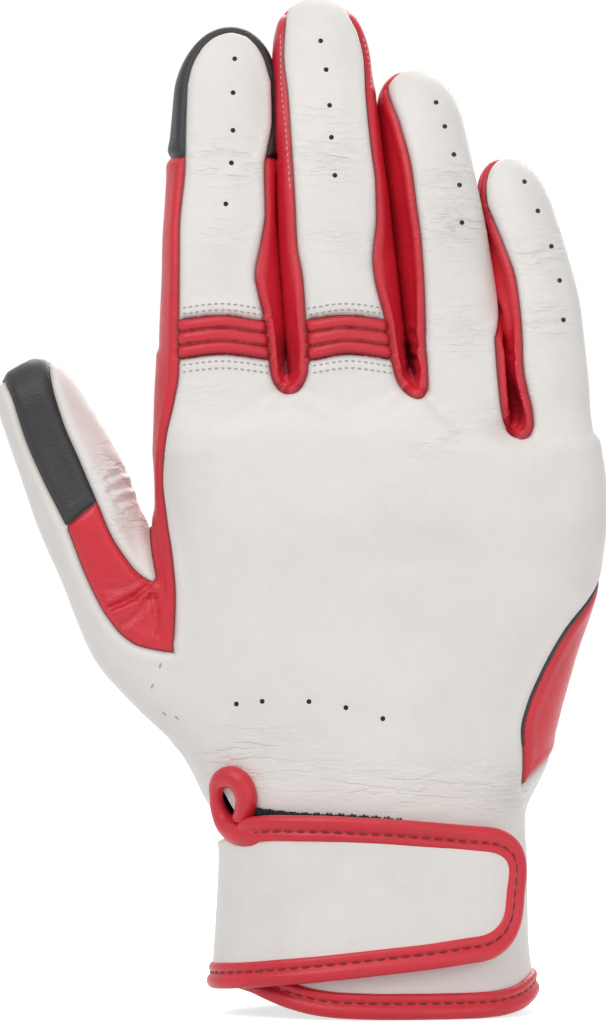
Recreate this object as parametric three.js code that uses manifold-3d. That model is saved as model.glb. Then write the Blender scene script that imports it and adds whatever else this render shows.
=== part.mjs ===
// A short-cuff leather motorcycle glove for the right hand, standing on its cuff hem with the fingers up.
// Millimetres. +Z runs along the fingers, -Y points out of the back of the hand, +X towards the little finger.
// Every panel is a shell of leather on a rounded section: s runs along a piece, and v turns round it,
// in degrees, from the back of the hand (0) through the little-finger side (90) to the palm (180).
import * as THREE from "three";
import { mergeVertices } from "three/addons/utils/BufferGeometryUtils.js";
import Module from "manifold-3d";

const wasm = await Module();
wasm.setup();
const { lerp, degToRad, radToDeg, smoothstep } = THREE.MathUtils;

// Leather, seams and inner layers
const LEATHER = 1.2; // thickness of a leather panel
const SEAM = 0.3; // gap between two neighbouring pieces
const PAD = 2.5; // thickness of the knuckle pad
const LINING = 0.8; // thickness of the lining
const TAPE = 1; // thickness of the hook, loop and elastic tapes
const ROUNDNESS = 2.3; // exponent of the rounded sections: 2 is an ellipse, more is squarer

// Cuff: the hem is flat under the back and the palm of the wrist, and rises towards both sides
const CUFF_HEIGHT = 48;
const HEM = { left: -20.2, right: 58.6, back: -27.5, palm: 28.5 };
const HEM_RISE = { left: 6.5, right: 4 };
const HEM_LOW = 0.1; // middle of the flat stretch, as a share of the cuff's half width
const HEM_FLAT = 0.45; // how much of the way to each side is flat
const HEM_BINDING = 5; // height of the hem binding
const HEM_PROUD = 0.8; // how far the binding stands out of the leather, inside and outside
const SLIT = { at: -68, width: 4 }; // wrist slit, in degrees round the cuff, and its width
const SLIT_BINDING_RADIUS = 2;
const SLIT_LOOP = { width: 7.6, foot: 3.5, top: 12.4 }; // loop of binding round the end of the slit

// Hand: sections above the wrist seam
const HAND_SECTIONS = [
  { up: 0, left: -18, right: 53.4, back: -24, palm: 25 },
  { up: 10, left: -25.5, right: 58.6, back: -23.5, palm: 24.5 },
  { up: 18, left: -29.4, right: 62.4, back: -23, palm: 24.5 },
  { up: 32, left: -33, right: 65.5, back: -22.5, palm: 24 },
  { up: 45, left: -35, right: 69.2, back: -22, palm: 22 },
  { up: 55, left: -36, right: 72.9, back: -22, palm: 20 },
  { up: 72, left: -36.6, right: 75.2, back: -22, palm: 17.5 },
  { up: 84, left: -36.8, right: 75.4, back: -21.5, palm: 16 },
  { up: 94, left: -36.8, right: 73.6, back: -20.5, palm: 15 },
  { up: 104, left: -36.2, right: 71, back: -18.8, palm: 14 },
  { up: 114, left: -35.4, right: 69.4, back: -17, palm: 13 },
];
const SIDE_SEAM = 1; // Y of the seam between the back and the palm of the hand

// Seams on the back of the hand, as X and height above the wrist seam
const BACK_SEAM = [
  [-30.9, 130],
  [-30.9, 111],
  [-33.2, 100],
  [-34.6, 88],
  [-34, 75],
  [-32.6, 64],
  [-32, 52],
  [-33.2, 41.5],
];
const THUMB_SEAM = [
  [-33.2, 41.5],
  [-35, 33],
  [-32, 24],
  [-26, 16],
  [-24, -10],
];
const GUSSET_SEAM = [
  [-33.2, 41.5],
  [-42, 44],
  [-48.5, 50],
  [-54, 60],
  [-62, 78],
];
const ULNAR_SEAM = [
  [90, 62],
  [72, 58.6],
  [66.2, 50],
  [58.3, 35.3],
  [54.6, 25.5],
  [53.9, 20.6],
  [55.4, 15.7],
  [56.8, 9.6],
  [90, 5],
];

// Fingers: where the knuckle crease lies, how the two segments lean (degrees, positive towards the little
// finger) and curl towards the palm, and their half sizes at the knuckle, the middle joint and the tip
const FINGERS = {
  index: {
    knuckle: { x: -19.6, y: 10.8, up: 113 },
    lean: -1.9,
    tipLean: 2.8,
    roll: 5,
    lengths: { base: 31.5, tip: 51.5 },
    halfWidth: [15.3, 13, 11.8],
    halfDepth: [12.4, 11.6, 10.4],
  },
  middle: {
    knuckle: { x: 11.2, y: 11.8, up: 113 },
    lean: -5.4,
    tipLean: -4.4,
    roll: 3,
    lengths: { base: 36.5, tip: 54 },
    halfWidth: [14.6, 13.5, 11.6],
    halfDepth: [13.2, 12.2, 10.8],
  },
  ring: {
    knuckle: { x: 38.2, y: 11.2, up: 107 },
    lean: -6.5,
    tipLean: -9.2,
    roll: 25,
    lengths: { base: 35.5, tip: 43 },
    halfWidth: [10.8, 11, 9.3],
    halfDepth: [12, 11.2, 9.6],
  },
  little: {
    knuckle: { x: 60.8, y: 9.6, up: 97 },
    lean: -5.9,
    tipLean: -11.5,
    roll: 33,
    lengths: { base: 31, tip: 36 },
    halfWidth: [8.9, 9.3, 7.8],
    halfDepth: [10.4, 9.8, 8.4],
  },
};
const THUMB = {
  knuckle: { x: -49.2, y: 16.5, up: 64 },
  lean: -21,
  tipLean: -25.5,
  lengths: { base: 19.2, tip: 34.5 },
  halfWidth: [11.2, 12.2, 9.4],
  halfDepth: [12.3, 12, 10],
};
const THUMB_ROOT = [
  { x: -40, y: 5, up: 45, lean: -28, halfWidth: 13.6, halfDepth: 14 },
  { x: -24, y: 5, up: 29, lean: -44, halfWidth: 13.6, halfDepth: 15 },
  { x: -10, y: 4, up: 18, lean: -50, halfWidth: 10, halfDepth: 13 },
];
const KNUCKLE_CURL = 4; // rest curl at the knuckle, degrees
const MIDDLE_CURL = 7; // rest curl at the middle joint, degrees
const PIVOT_OUT = 0.3; // hinge line outside the palm face of a finger
const BACK_HALF = 50; // half of the finger's back panel, degrees
const PALM_HALF = 50; // half of its palm panel, degrees
const THUMB_STRIP = [-48, 8]; // strip along the thumb, degrees
const THUMB_REAR_SEAM = 165; // seam on the far side of the thumb, degrees
const PLEATS = { count: 3, height: 11.5, depth: 1 }; // stretch panel of the index and middle finger
const TOUCH_TIP = 20; // height of the touch-screen leather above the index finger's middle joint
const WEB = { width: 2.4, height: 6, drop: 1.2 }; // web between two finger roots

// Pieces on and inside the hand: heights above the wrist seam, degrees round the hand
const KNUCKLE_PAD = { low: 66, high: 97, around: [-44, 32] };
const LINING_SPAN = { low: 2, high: 86 };
const PALM_PATCH = { low: 8, high: 42, around: [128, 178] };
const ELASTIC = { width: 9, below: 3, around: [125, 235] }; // its top edge lies below the wrist seam

// Strap: heights above the hem at its root and at its free end, degrees round the cuff
const STRAP = { root: -97, seated: -84, end: 56, rootLow: 9.6, rootHigh: 47, endLow: 16.6, endHigh: 42.8 };
const STRAP_BINDING_RADIUS = 2.2;
const STRAP_CORNER = { turn: 14, rise: 6 }; // corners of the strap's free end, degrees and height
const CLOSURE = { length: 36, margin: 12 }; // hook and loop pads, degrees from the strap's free end
const CLOSURE_EDGE = 1; // from the strap's binding to the pads

const leatherFinish = (color) => new THREE.MeshStandardMaterial({ color, roughness: 0.55, metalness: 0 });
const WHITE = leatherFinish("#e0dcd8");
const RED = leatherFinish("#c62a3c");
const DARK = leatherFinish("#38383a");
const BLACK = new THREE.MeshStandardMaterial({ color: "#1d1d1f", roughness: 0.95, metalness: 0 });
const FOAM = new THREE.MeshStandardMaterial({ color: "#4a4a4e", roughness: 0.9, metalness: 0 });

// Rounded section: offset from its centre at v degrees
function sectionPoint(halfWidth, halfDepth, v) {
  const bend = (value) => Math.sign(value) * Math.abs(value) ** (2 / ROUNDNESS);
  const angle = degToRad(v);
  return { x: halfWidth * bend(Math.sin(angle)), y: -halfDepth * bend(Math.cos(angle)) };
}

// A value that runs smoothly through a list of { at, value }
function along(stations, at) {
  const last = stations.length - 1;
  const next = stations.findIndex((station) => station.at >= at);
  if (next === 0) return stations[0].value;
  if (next < 0) return stations[last].value;
  const [a, b] = [stations[next - 1], stations[next]];
  return lerp(a.value, b.value, (at - a.at) / (b.at - a.at));
}

// Geometry from corner points and index triples, without the triangles that collapse at a pole
function geometryOf(points, triangles) {
  const position = new Float32Array(points.flatMap((p) => [p.x, p.y, p.z]));
  const geometry = new THREE.BufferGeometry();
  geometry.setAttribute("position", new THREE.BufferAttribute(position, 3));
  geometry.setIndex(triangles.flat());
  const merged = mergeVertices(geometry, 1e-3);
  const index = [];
  for (let i = 0; i < merged.index.count; i += 3) {
    const corner = [0, 1, 2].map((k) => merged.index.getX(i + k));
    if (new Set(corner).size === 3) index.push(...corner);
  }
  merged.setIndex(index);
  merged.computeVertexNormals();
  return merged;
}

// Shell between an outer and an inner grid of rows x columns cells; a closed grid runs right round
function shell(outer, inner, rows, columns, closed = false) {
  const stride = closed ? columns : columns + 1;
  const far = outer.length;
  const at = (i, j) => i * stride + (j % stride);
  const triangles = [];
  const quad = (a, b, c, d) => triangles.push([a, b, c], [a, c, d]);
  for (let i = 0; i < rows; i++) {
    for (let j = 0; j < columns; j++) {
      const [a, b, c, d] = [at(i, j), at(i, j + 1), at(i + 1, j + 1), at(i + 1, j)];
      quad(a, b, c, d);
      quad(far + a, far + d, far + c, far + b);
    }
  }
  for (let j = 0; j < columns; j++) {
    quad(at(0, j + 1), at(0, j), far + at(0, j), far + at(0, j + 1));
    quad(at(rows, j), at(rows, j + 1), far + at(rows, j + 1), far + at(rows, j));
  }
  if (!closed) {
    for (let i = 0; i < rows; i++) {
      quad(at(i, 0), at(i + 1, 0), far + at(i + 1, 0), far + at(i, 0));
      quad(at(i + 1, columns), at(i, columns), far + at(i, columns), far + at(i + 1, columns));
    }
  }
  return geometryOf([...outer, ...inner], triangles);
}

// Panel of a skin(s, v, inset): from and to give s for each v, shares the rows in between,
// and around the v limits of each row
const evenShares = (rows) => Array.from({ length: rows + 1 }, (_, i) => i / rows);
function panel(skin, { from, to, around, shares, columns, outside = 0, wall = LEATHER, closed = false }) {
  const outer = [];
  const inner = [];
  for (const share of shares) {
    const [low, high] = around(share);
    for (let j = 0; j < (closed ? columns : columns + 1); j++) {
      const v = lerp(low, high, j / columns);
      const s = lerp(from(v), to(v), share);
      outer.push(skin(s, v, outside));
      inner.push(skin(s, v, outside + wall));
    }
  }
  return shell(outer, inner, shares.length - 1, columns, closed);
}

// Closed solid through rings of points, with flat ends
function loft(rings) {
  const size = rings[0].length;
  const points = rings.flat();
  const triangles = [];
  for (let i = 0; i + 1 < rings.length; i++) {
    for (let j = 0; j < size; j++) {
      const k = (j + 1) % size;
      const [a, b, c, d] = [i * size + j, i * size + k, (i + 1) * size + k, (i + 1) * size + j];
      triangles.push([a, b, c], [a, c, d]);
    }
  }
  for (const [ring, start] of [[rings[0], 0], [rings.at(-1), (rings.length - 1) * size]]) {
    const middle = ring.reduce((sum, p) => sum.add(p), new THREE.Vector3()).divideScalar(size);
    const hub = points.push(middle) - 1;
    for (let j = 0; j < size; j++) {
      const [a, b] = [start + j, start + ((j + 1) % size)];
      triangles.push(start === 0 ? [b, a, hub] : [a, b, hub]);
    }
  }
  return geometryOf(points, triangles);
}

function solid(geometry) {
  const plain = geometry.clone();
  plain.deleteAttribute("normal");
  plain.deleteAttribute("uv");
  const merged = mergeVertices(plain, 1e-4);
  return new wasm.Manifold(
    new wasm.Mesh({
      numProp: 3,
      vertProperties: merged.attributes.position.array,
      triVerts: new Uint32Array(merged.index.array),
    }),
  );
}

function geometryFrom(manifold) {
  const mesh = manifold.getMesh();
  const geometry = new THREE.BufferGeometry();
  geometry.setAttribute("position", new THREE.BufferAttribute(new Float32Array(mesh.vertProperties), 3));
  geometry.setIndex([...mesh.triVerts]);
  geometry.computeVertexNormals();
  return geometry;
}

// Outline in X and Z, extruded from one Y to another
function prism(outline, nearY, farY) {
  const shape = new THREE.Shape(outline.map(([x, z]) => new THREE.Vector2(x, z)));
  const geometry = new THREE.ExtrudeGeometry(shape, { depth: farY - nearY, bevelEnabled: false });
  return solid(geometry.rotateX(Math.PI / 2).translate(0, farY, 0));
}

// Kerf along a seam: a wall as thick as the seam gap, right through the hand
function kerf(seam) {
  const points = seam.map(([x, z]) => new THREE.Vector2(x, z));
  const shifted = (side) =>
    points.map((point, i) => {
      const before = points[Math.max(i - 1, 0)];
      const after = points[Math.min(i + 1, points.length - 1)];
      const run = after.clone().sub(before).normalize();
      return [point.x - run.y * side * (SEAM / 2), point.y + run.x * side * (SEAM / 2)];
    });
  return prism([...shifted(1), ...shifted(-1).reverse()], -REACH, REACH);
}
const REACH = 120; // larger than any half size of the glove

const glove = new THREE.Group();
const hand = new THREE.Group();
hand.position.z = CUFF_HEIGHT;
glove.add(hand);

function add(group, name, geometry, material) {
  const mesh = new THREE.Mesh(geometry, material);
  mesh.name = name;
  group.add(mesh);
  return mesh;
}

// Hand skin: s is the height above the wrist seam
const handSide = (side) => HAND_SECTIONS.map((section) => ({ at: section.up, value: section[side] }));
const handSides = Object.fromEntries(["left", "right", "back", "palm"].map((side) => [side, handSide(side)]));
function handSection(up) {
  const [left, right, back, palm] = ["left", "right", "back", "palm"].map((side) => along(handSides[side], up));
  return { x: (left + right) / 2, y: (back + palm) / 2, halfWidth: (right - left) / 2, halfDepth: (palm - back) / 2 };
}
function handSkin(up, v, inset) {
  const { x, y, halfWidth, halfDepth } = handSection(up);
  const point = sectionPoint(halfWidth - inset, halfDepth - inset, v);
  return new THREE.Vector3(x + point.x, y + point.y, up);
}
// Y of the back and palm faces of the hand at x and a height, with an inset
function handFaces(x, up, inset) {
  const section = handSection(up);
  const share = Math.min(Math.abs((x - section.x) / (section.halfWidth - inset)), 1);
  const half = (section.halfDepth - inset) * (1 - share ** ROUNDNESS) ** (1 / ROUNDNESS);
  return { back: section.y - half, palm: section.y + half };
}

// Thumb root skin: rings from inside the hand up to the thumb's knuckle
const thumbKnuckle = {
  ...THUMB.knuckle,
  y: THUMB.knuckle.y - PIVOT_OUT - THUMB.halfDepth[0],
  lean: THUMB.lean,
  halfWidth: THUMB.halfWidth[0],
  halfDepth: THUMB.halfDepth[0],
};
function thumbRing(station, inset, push) {
  const lean = degToRad(station.lean);
  const across = new THREE.Vector3(Math.cos(lean), 0, -Math.sin(lean));
  const up = new THREE.Vector3(Math.sin(lean), 0, Math.cos(lean));
  const centre = new THREE.Vector3(station.x, station.y, station.up).addScaledVector(up, push);
  return Array.from({ length: 28 }, (_, j) => {
    const point = sectionPoint(station.halfWidth - inset, station.halfDepth - inset, (360 * j) / 28);
    return centre.clone().addScaledVector(across, point.x).add(new THREE.Vector3(0, point.y, 0));
  });
}
function thumbRootSolid(inset, push) {
  const lower = THUMB_ROOT.map((station) => thumbRing(station, inset, 0)).reverse();
  return solid(loft([...lower, thumbRing(thumbKnuckle, inset, push)]));
}

// Solid of the hand's section from the wrist seam to above the finger roots
function handSolid(inset, low) {
  const top = HAND_SECTIONS.at(-1).up + 10;
  const levels = [low, ...HAND_SECTIONS.map((section) => section.up).filter((up) => up > low), top];
  const ring = (up) => Array.from({ length: 44 }, (_, j) => handSkin(up, (360 * j) / 44, inset));
  return solid(loft(levels.map(ring)));
}

// The knuckle planes cut the top of the hand; each finger owns the strip between its neighbours
const fingerNames = Object.keys(FINGERS);
const fingerEdge = (name, side) => FINGERS[name].knuckle.x + side * FINGERS[name].halfWidth[0];
const crotches = fingerNames.slice(1).map((name, i) => (fingerEdge(fingerNames[i], 1) + fingerEdge(name, -1)) / 2);
const knuckleLevel = ({ knuckle, lean }, x) => knuckle.up - (x - knuckle.x) * Math.tan(degToRad(lean));
function aboveKnuckles(clearance) {
  const limits = [-REACH, ...crotches, REACH];
  return fingerNames
    .map((name, i) => {
      const [low, high] = [limits[i], limits[i + 1]];
      const level = (x) => knuckleLevel(FINGERS[name], x) - clearance;
      return prism([[low, level(low)], [high, level(high)], [high, 3 * REACH], [low, 3 * REACH]], -REACH, REACH);
    })
    .reduce((all, next) => all.add(next));
}

// Hand shell with the thumb root, open at the wrist, the finger roots and the thumb
const handHollow = handSolid(LEATHER, -SEAM).add(thumbRootSolid(LEATHER, SEAM));
const handShell = handSolid(0, SEAM / 2)
  .add(thumbRootSolid(0, -SEAM))
  .subtract(handHollow)
  .subtract(aboveKnuckles(SEAM));
const backSide = prism([[-REACH, -REACH], [REACH, -REACH], [REACH, 2 * REACH], [-REACH, 2 * REACH]], -REACH, SIDE_SEAM);
const seamGap = prism(
  [[-REACH, -REACH], [REACH, -REACH], [REACH, 2 * REACH], [-REACH, 2 * REACH]],
  SIDE_SEAM - SEAM / 2,
  SIDE_SEAM + SEAM / 2,
);
const ulnarSide = prism(ULNAR_SEAM, -REACH, REACH);
const redSide = prism([...BACK_SEAM, ...GUSSET_SEAM.slice(1), [-REACH, 80], [-REACH, 130]], -REACH, REACH);
const thumbSide = prism(
  [...THUMB_SEAM, [-REACH, -10], [-REACH, 78], ...GUSSET_SEAM.slice(1).reverse()],
  -REACH,
  REACH,
);
const mainShell = handShell.subtract(ulnarSide).subtract(kerf(ULNAR_SEAM));
const backShell = mainShell.intersect(backSide).subtract(seamGap);
const withoutKerfs = (part) => part.subtract(kerf(BACK_SEAM)).subtract(kerf(THUMB_SEAM)).subtract(kerf(GUSSET_SEAM));
add(hand, "back_panel", geometryFrom(withoutKerfs(backShell.subtract(redSide).subtract(thumbSide))), WHITE);
add(hand, "thumb_root_panel", geometryFrom(withoutKerfs(backShell.intersect(thumbSide))), WHITE);
add(hand, "thumb_crotch_gusset", geometryFrom(withoutKerfs(backShell.intersect(redSide))), RED);
add(hand, "palm_panel", geometryFrom(mainShell.subtract(backSide).subtract(seamGap)), WHITE);
add(hand, "ulnar_gusset", geometryFrom(handShell.intersect(ulnarSide).subtract(kerf(ULNAR_SEAM))), RED);

// Knuckle pad under the back panel, and the lining under both
const padInset = LEATHER + SEAM;
add(
  hand,
  "knuckle_pad",
  panel(handSkin, {
    from: () => KNUCKLE_PAD.low,
    to: () => KNUCKLE_PAD.high,
    around: () => KNUCKLE_PAD.around,
    shares: evenShares(3),
    columns: 10,
    outside: padInset,
    wall: PAD,
  }),
  FOAM,
);
function liningSkin(up, v, inset) {
  const turn = v > 180 ? v - 360 : v;
  const [first, last] = KNUCKLE_PAD.around;
  const lift = smoothstep(up, KNUCKLE_PAD.low - 14, KNUCKLE_PAD.low - 4);
  const beside = Math.min(smoothstep(turn, first - 24, first - 8), 1 - smoothstep(turn, last + 8, last + 24));
  return handSkin(up, v, inset + (PAD + SEAM) * lift * beside);
}
const liningTube = panel(liningSkin, {
  from: () => LINING_SPAN.low,
  to: () => LINING_SPAN.high,
  around: () => [0, 360],
  shares: evenShares(8),
  columns: 40,
  outside: padInset,
  wall: LINING,
  closed: true,
});
add(hand, "hand_lining", geometryFrom(solid(liningTube).subtract(thumbRootSolid(LEATHER - SEAM, SEAM))), BLACK);
add(
  hand,
  "palm_patch",
  panel(handSkin, {
    from: () => PALM_PATCH.low,
    to: () => PALM_PATCH.high,
    around: () => PALM_PATCH.around,
    shares: evenShares(5),
    columns: 6,
    outside: -LEATHER - SEAM,
  }),
  WHITE,
);

// Webs that close the hand between two finger roots, dipped in the middle like a saddle
crotches.forEach((x, i) => {
  const [left, right] = [fingerNames[i], fingerNames[i + 1]];
  const top = Math.min(knuckleLevel(FINGERS[left], x), knuckleLevel(FINGERS[right], x)) - 2 * SEAM;
  const { back, palm } = handFaces(x, top, padInset);
  const shape = new THREE.Shape();
  shape.moveTo(back, top - WEB.height);
  shape.lineTo(palm, top - WEB.height);
  shape.lineTo(palm, top);
  shape.quadraticCurveTo((back + palm) / 2, top - 2 * WEB.drop, back, top);
  const settings = { depth: WEB.width, bevelEnabled: false, curveSegments: 6 };
  const geometry = new THREE.ExtrudeGeometry(shape, settings);
  geometry.translate(0, 0, -WEB.width / 2).applyMatrix4(new THREE.Matrix4().set(0, 0, 1, x, 1, 0, 0, 0, 0, 1, 0, 0, 0, 0, 0, 1));
  add(hand, `web_${left}_${right}`, geometry, RED);
});

// Skin of one finger segment, in the frame of its hinge: its palm face lies along the hinge, its back on -Y.
// Its centre line drifts sideways by slope along the way.
function segmentSkin(length, halfWidths, halfDepths, dome, slope) {
  const straight = length - dome;
  return (s, v, inset) => {
    const share = Math.min(Math.max(s / straight, 0), 1);
    const halfDepth = lerp(...halfDepths, share);
    const over = dome ? Math.max(s - straight, 0) / dome : 0;
    const scale = Math.sqrt(Math.max(1 - over * over, 0));
    const point = sectionPoint(lerp(...halfWidths, share) - inset, halfDepth - inset, v);
    const height = over > 0 ? straight + over * (dome - inset) : s;
    return new THREE.Vector3(slope * s + point.x * scale, -PIVOT_OUT - halfDepth + point.y * scale, height);
  };
}

// Panels of a segment: each has a name, its v limits, a material and the stretch that it covers.
// Neighbours share the rows of the segment, so that their edges run side by side.
function addSegment(group, skin, pieces, { levels, lowTilt, highTilt, highSlant, halfWidth, dome }) {
  const [low, high] = [levels[0], levels.at(-1)];
  const straight = high - dome;
  const lowTrim = (v) => -lowTilt * skin(low, v, 0).y;
  const highTrim = (v) => -highTilt * skin(straight, v, 0).y - highSlant * skin(straight, v, 0).x;
  for (const { name, limits, material, start = low, stop = high, columns = 4, outline = skin } of pieces) {
    const from = (v) => start + SEAM / 2 + (start === low ? lowTrim(v) : 0);
    const to = (v) => (stop > straight ? stop : stop - SEAM / 2) + (stop === high ? highTrim(v) : 0);
    const around = (share) => {
      const over = dome ? Math.max(lerp(start, stop, share) - straight, 0) / dome : 0;
      const radius = halfWidth * Math.sqrt(Math.max(1 - over * over, POLE));
      const gap = radToDeg(SEAM / 2 / radius);
      const [first, last] = limits(over);
      return [first + gap, last - gap];
    };
    const rows = [start, ...levels.filter((level) => level > start && level < stop), stop];
    const shares = rows.map((level) => (level - start) / (stop - start));
    add(group, name, panel(outline, { from, to, around, shares, columns }), material);
  }
}

// Over the fingertip the back and palm panels widen until they meet, and the side walls run out
const widen = (half, over) => lerp(half, 90, Math.min(over / 0.75, 1));
const backLimits = (roll) => (over) => [roll - widen(BACK_HALF, over), roll + widen(BACK_HALF, over)];
const palmLimits = (roll) => (over) => [roll + 180 - widen(PALM_HALF, over), roll + 180 + widen(PALM_HALF, over)];
const outerLimits = (roll) => (over) => [roll + widen(BACK_HALF, over), roll + 180 - widen(PALM_HALF, over)];
const innerLimits = (roll) => (over) => [roll - 180 + widen(PALM_HALF, over), roll - widen(BACK_HALF, over)];
const touchLimits = (roll) => (over) => [roll + widen(BACK_HALF, over), roll + 360 - widen(BACK_HALF, over)];
const DOME_ROWS = [0.3, 0.6, 0.8, 0.93]; // rows over the fingertip, as shares of the dome's height
const SIDE_END = DOME_ROWS[1]; // where a side wall runs out
const PALM_END = 0.995; // where the palm panel ends, just short of the tip
const POLE = 0.01; // keeps the seam gap finite at the tip

// Pleats of the stretch panel: the skin swells between the stitched folds
function pleated(skin) {
  return (s, v, inset) => {
    const share = Math.min(Math.max(s / PLEATS.height, 0), 1);
    const swell = PLEATS.depth * Math.abs(Math.sin(Math.PI * PLEATS.count * share));
    return skin(s, v, inset - swell);
  };
}

// Hinge groups of a finger: the knuckle on the hand, and the middle joint on the base segment
function hingeGroups(name, { knuckle, lean, tipLean, lengths }) {
  const base = new THREE.Group();
  base.name = `${name}_knuckle`;
  base.position.set(knuckle.x, knuckle.y, knuckle.up);
  base.rotation.set(-degToRad(KNUCKLE_CURL), degToRad(lean), 0, "YXZ");
  const tip = new THREE.Group();
  tip.name = `${name}_middle`;
  tip.position.z = lengths.base;
  tip.rotation.set(-degToRad(MIDDLE_CURL), degToRad(tipLean - lean) / 2, 0, "YXZ");
  hand.add(base);
  base.add(tip);
  return { base, tip };
}
function segments({ lengths, lean, tipLean, halfWidth, halfDepth }) {
  const dome = 0.95 * halfWidth[2];
  const slope = Math.tan(degToRad(tipLean - lean) / 2);
  const bend = Math.tan(degToRad(MIDDLE_CURL / 2));
  const straight = lengths.tip - dome;
  const overTip = (share) => straight + share * dome;
  const baseLevels = evenShares(3).map((share) => share * lengths.base);
  const tipLevels = [0, 0.5 * straight, straight, ...DOME_ROWS.map(overTip), lengths.tip];
  const lowTilt = -Math.tan(degToRad(KNUCKLE_CURL));
  return {
    baseSkin: segmentSkin(lengths.base, halfWidth.slice(0, 2), halfDepth.slice(0, 2), 0, 0),
    tipSkin: segmentSkin(lengths.tip, halfWidth.slice(1), halfDepth.slice(1), dome, slope),
    baseSpan: { levels: baseLevels, lowTilt, highTilt: bend, highSlant: slope, halfWidth: halfWidth[1], dome: 0 },
    tipSpan: { levels: tipLevels, lowTilt: -bend, highTilt: 0, highSlant: 0, halfWidth: halfWidth[2], dome },
    sideStop: overTip(SIDE_END),
    palmStop: overTip(PALM_END),
  };
}

for (const [name, finger] of Object.entries(FINGERS)) {
  const { base, tip } = hingeGroups(name, finger);
  const { baseSkin, tipSkin, baseSpan, tipSpan, sideStop, palmStop } = segments(finger);
  const { roll } = finger;
  const hasPleats = name === "index" || name === "middle";
  const hasTouchTip = name === "index";
  const basePieces = [
    { name: `${name}_base_back`, limits: backLimits(roll), material: WHITE, start: hasPleats ? PLEATS.height : 0 },
    { name: `${name}_base_palm`, limits: palmLimits(roll), material: WHITE },
    { name: `${name}_base_side_outer`, limits: outerLimits(roll), material: RED },
    { name: `${name}_base_side_inner`, limits: innerLimits(roll), material: RED },
  ];
  addSegment(base, baseSkin, basePieces, baseSpan);
  if (hasPleats) {
    const stretch = { name: `${name}_stretch_panel`, limits: backLimits(roll), material: RED, stop: PLEATS.height };
    const folds = evenShares(4 * PLEATS.count).map((share) => share * PLEATS.height);
    const levels = [...folds, finger.lengths.base];
    addSegment(base, baseSkin, [{ ...stretch, outline: pleated(baseSkin) }], { ...baseSpan, levels });
  }
  const stop = hasTouchTip ? TOUCH_TIP : sideStop;
  const tipPieces = [
    { name: `${name}_tip_back`, limits: backLimits(roll), material: WHITE },
    { name: `${name}_tip_side_outer`, limits: outerLimits(roll), material: RED, stop },
    { name: `${name}_tip_side_inner`, limits: innerLimits(roll), material: RED, stop },
  ];
  if (hasTouchTip) {
    tipPieces.push(
      { name: `${name}_tip_palm`, limits: palmLimits(roll), material: WHITE, stop },
      { name: `${name}_touch_tip`, limits: touchLimits(roll), material: DARK, start: stop, stop: palmStop, columns: 12 },
    );
  } else {
    tipPieces.push({ name: `${name}_tip_palm`, limits: palmLimits(roll), material: WHITE, stop: palmStop });
  }
  const levels = hasTouchTip ? [...tipSpan.levels, stop].sort((a, b) => a - b) : tipSpan.levels;
  addSegment(tip, tipSkin, tipPieces, { ...tipSpan, levels });
}

// Thumb: a strip along its front, red below the middle joint and touch-screen leather above it
{
  const { base, tip } = hingeGroups("thumb", THUMB);
  const { baseSkin, tipSkin, baseSpan, tipSpan, palmStop } = segments(THUMB);
  const [first, last] = THUMB_STRIP;
  const strip = (over) => [lerp(first, -90, over), last];
  const inner = () => [last, THUMB_REAR_SEAM];
  const outer = (over) => [THUMB_REAR_SEAM - 360, lerp(first, -90, over)];
  const pieces = (part, stripMaterial, stop) => [
    { name: `thumb_${part}_strip`, limits: strip, material: stripMaterial },
    { name: `thumb_${part}_inner`, limits: inner, material: WHITE, columns: 8, stop },
    { name: `thumb_${part}_outer`, limits: outer, material: WHITE, columns: 8, stop },
  ];
  addSegment(base, baseSkin, pieces("base", RED), baseSpan);
  addSegment(tip, tipSkin, pieces("tip", DARK, palmStop), tipSpan);
}

// Cuff skin: s is the height above the floor, between the hem and the wrist seam
const wrist = HAND_SECTIONS[0];
function cuffSkin(s, v, inset) {
  const share = Math.min(Math.max(s / CUFF_HEIGHT, 0), 1);
  const ease = 1 - (1 - share) ** 2;
  const [left, right, back, palm] = ["left", "right", "back", "palm"].map((side) => lerp(HEM[side], wrist[side], ease));
  const point = sectionPoint((right - left) / 2 - inset, (palm - back) / 2 - inset, v);
  return new THREE.Vector3((left + right) / 2 + point.x, (back + palm) / 2 + point.y, s);
}
function hemLevel(v) {
  const aside = Math.sin(degToRad(v)) - HEM_LOW;
  const share = Math.abs(aside) / (1 - Math.sign(aside) * HEM_LOW);
  const rise = aside < 0 ? HEM_RISE.left : HEM_RISE.right;
  return (rise * Math.max(share ** 2 - HEM_FLAT ** 2, 0)) / (1 - HEM_FLAT ** 2);
}
const slitHalf = radToDeg(SLIT.width / 2 / ((wrist.right - wrist.left) / 2));
const cuffRound = [SLIT.at + slitHalf, SLIT.at + 360 - slitHalf];
const cuffBand = { around: () => cuffRound, to: () => CUFF_HEIGHT - SEAM / 2, shares: evenShares(4), columns: 40 };
add(
  glove,
  "cuff_band",
  panel(cuffSkin, { ...cuffBand, from: (v) => hemLevel(v) + HEM_BINDING + SEAM }),
  WHITE,
);

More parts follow.
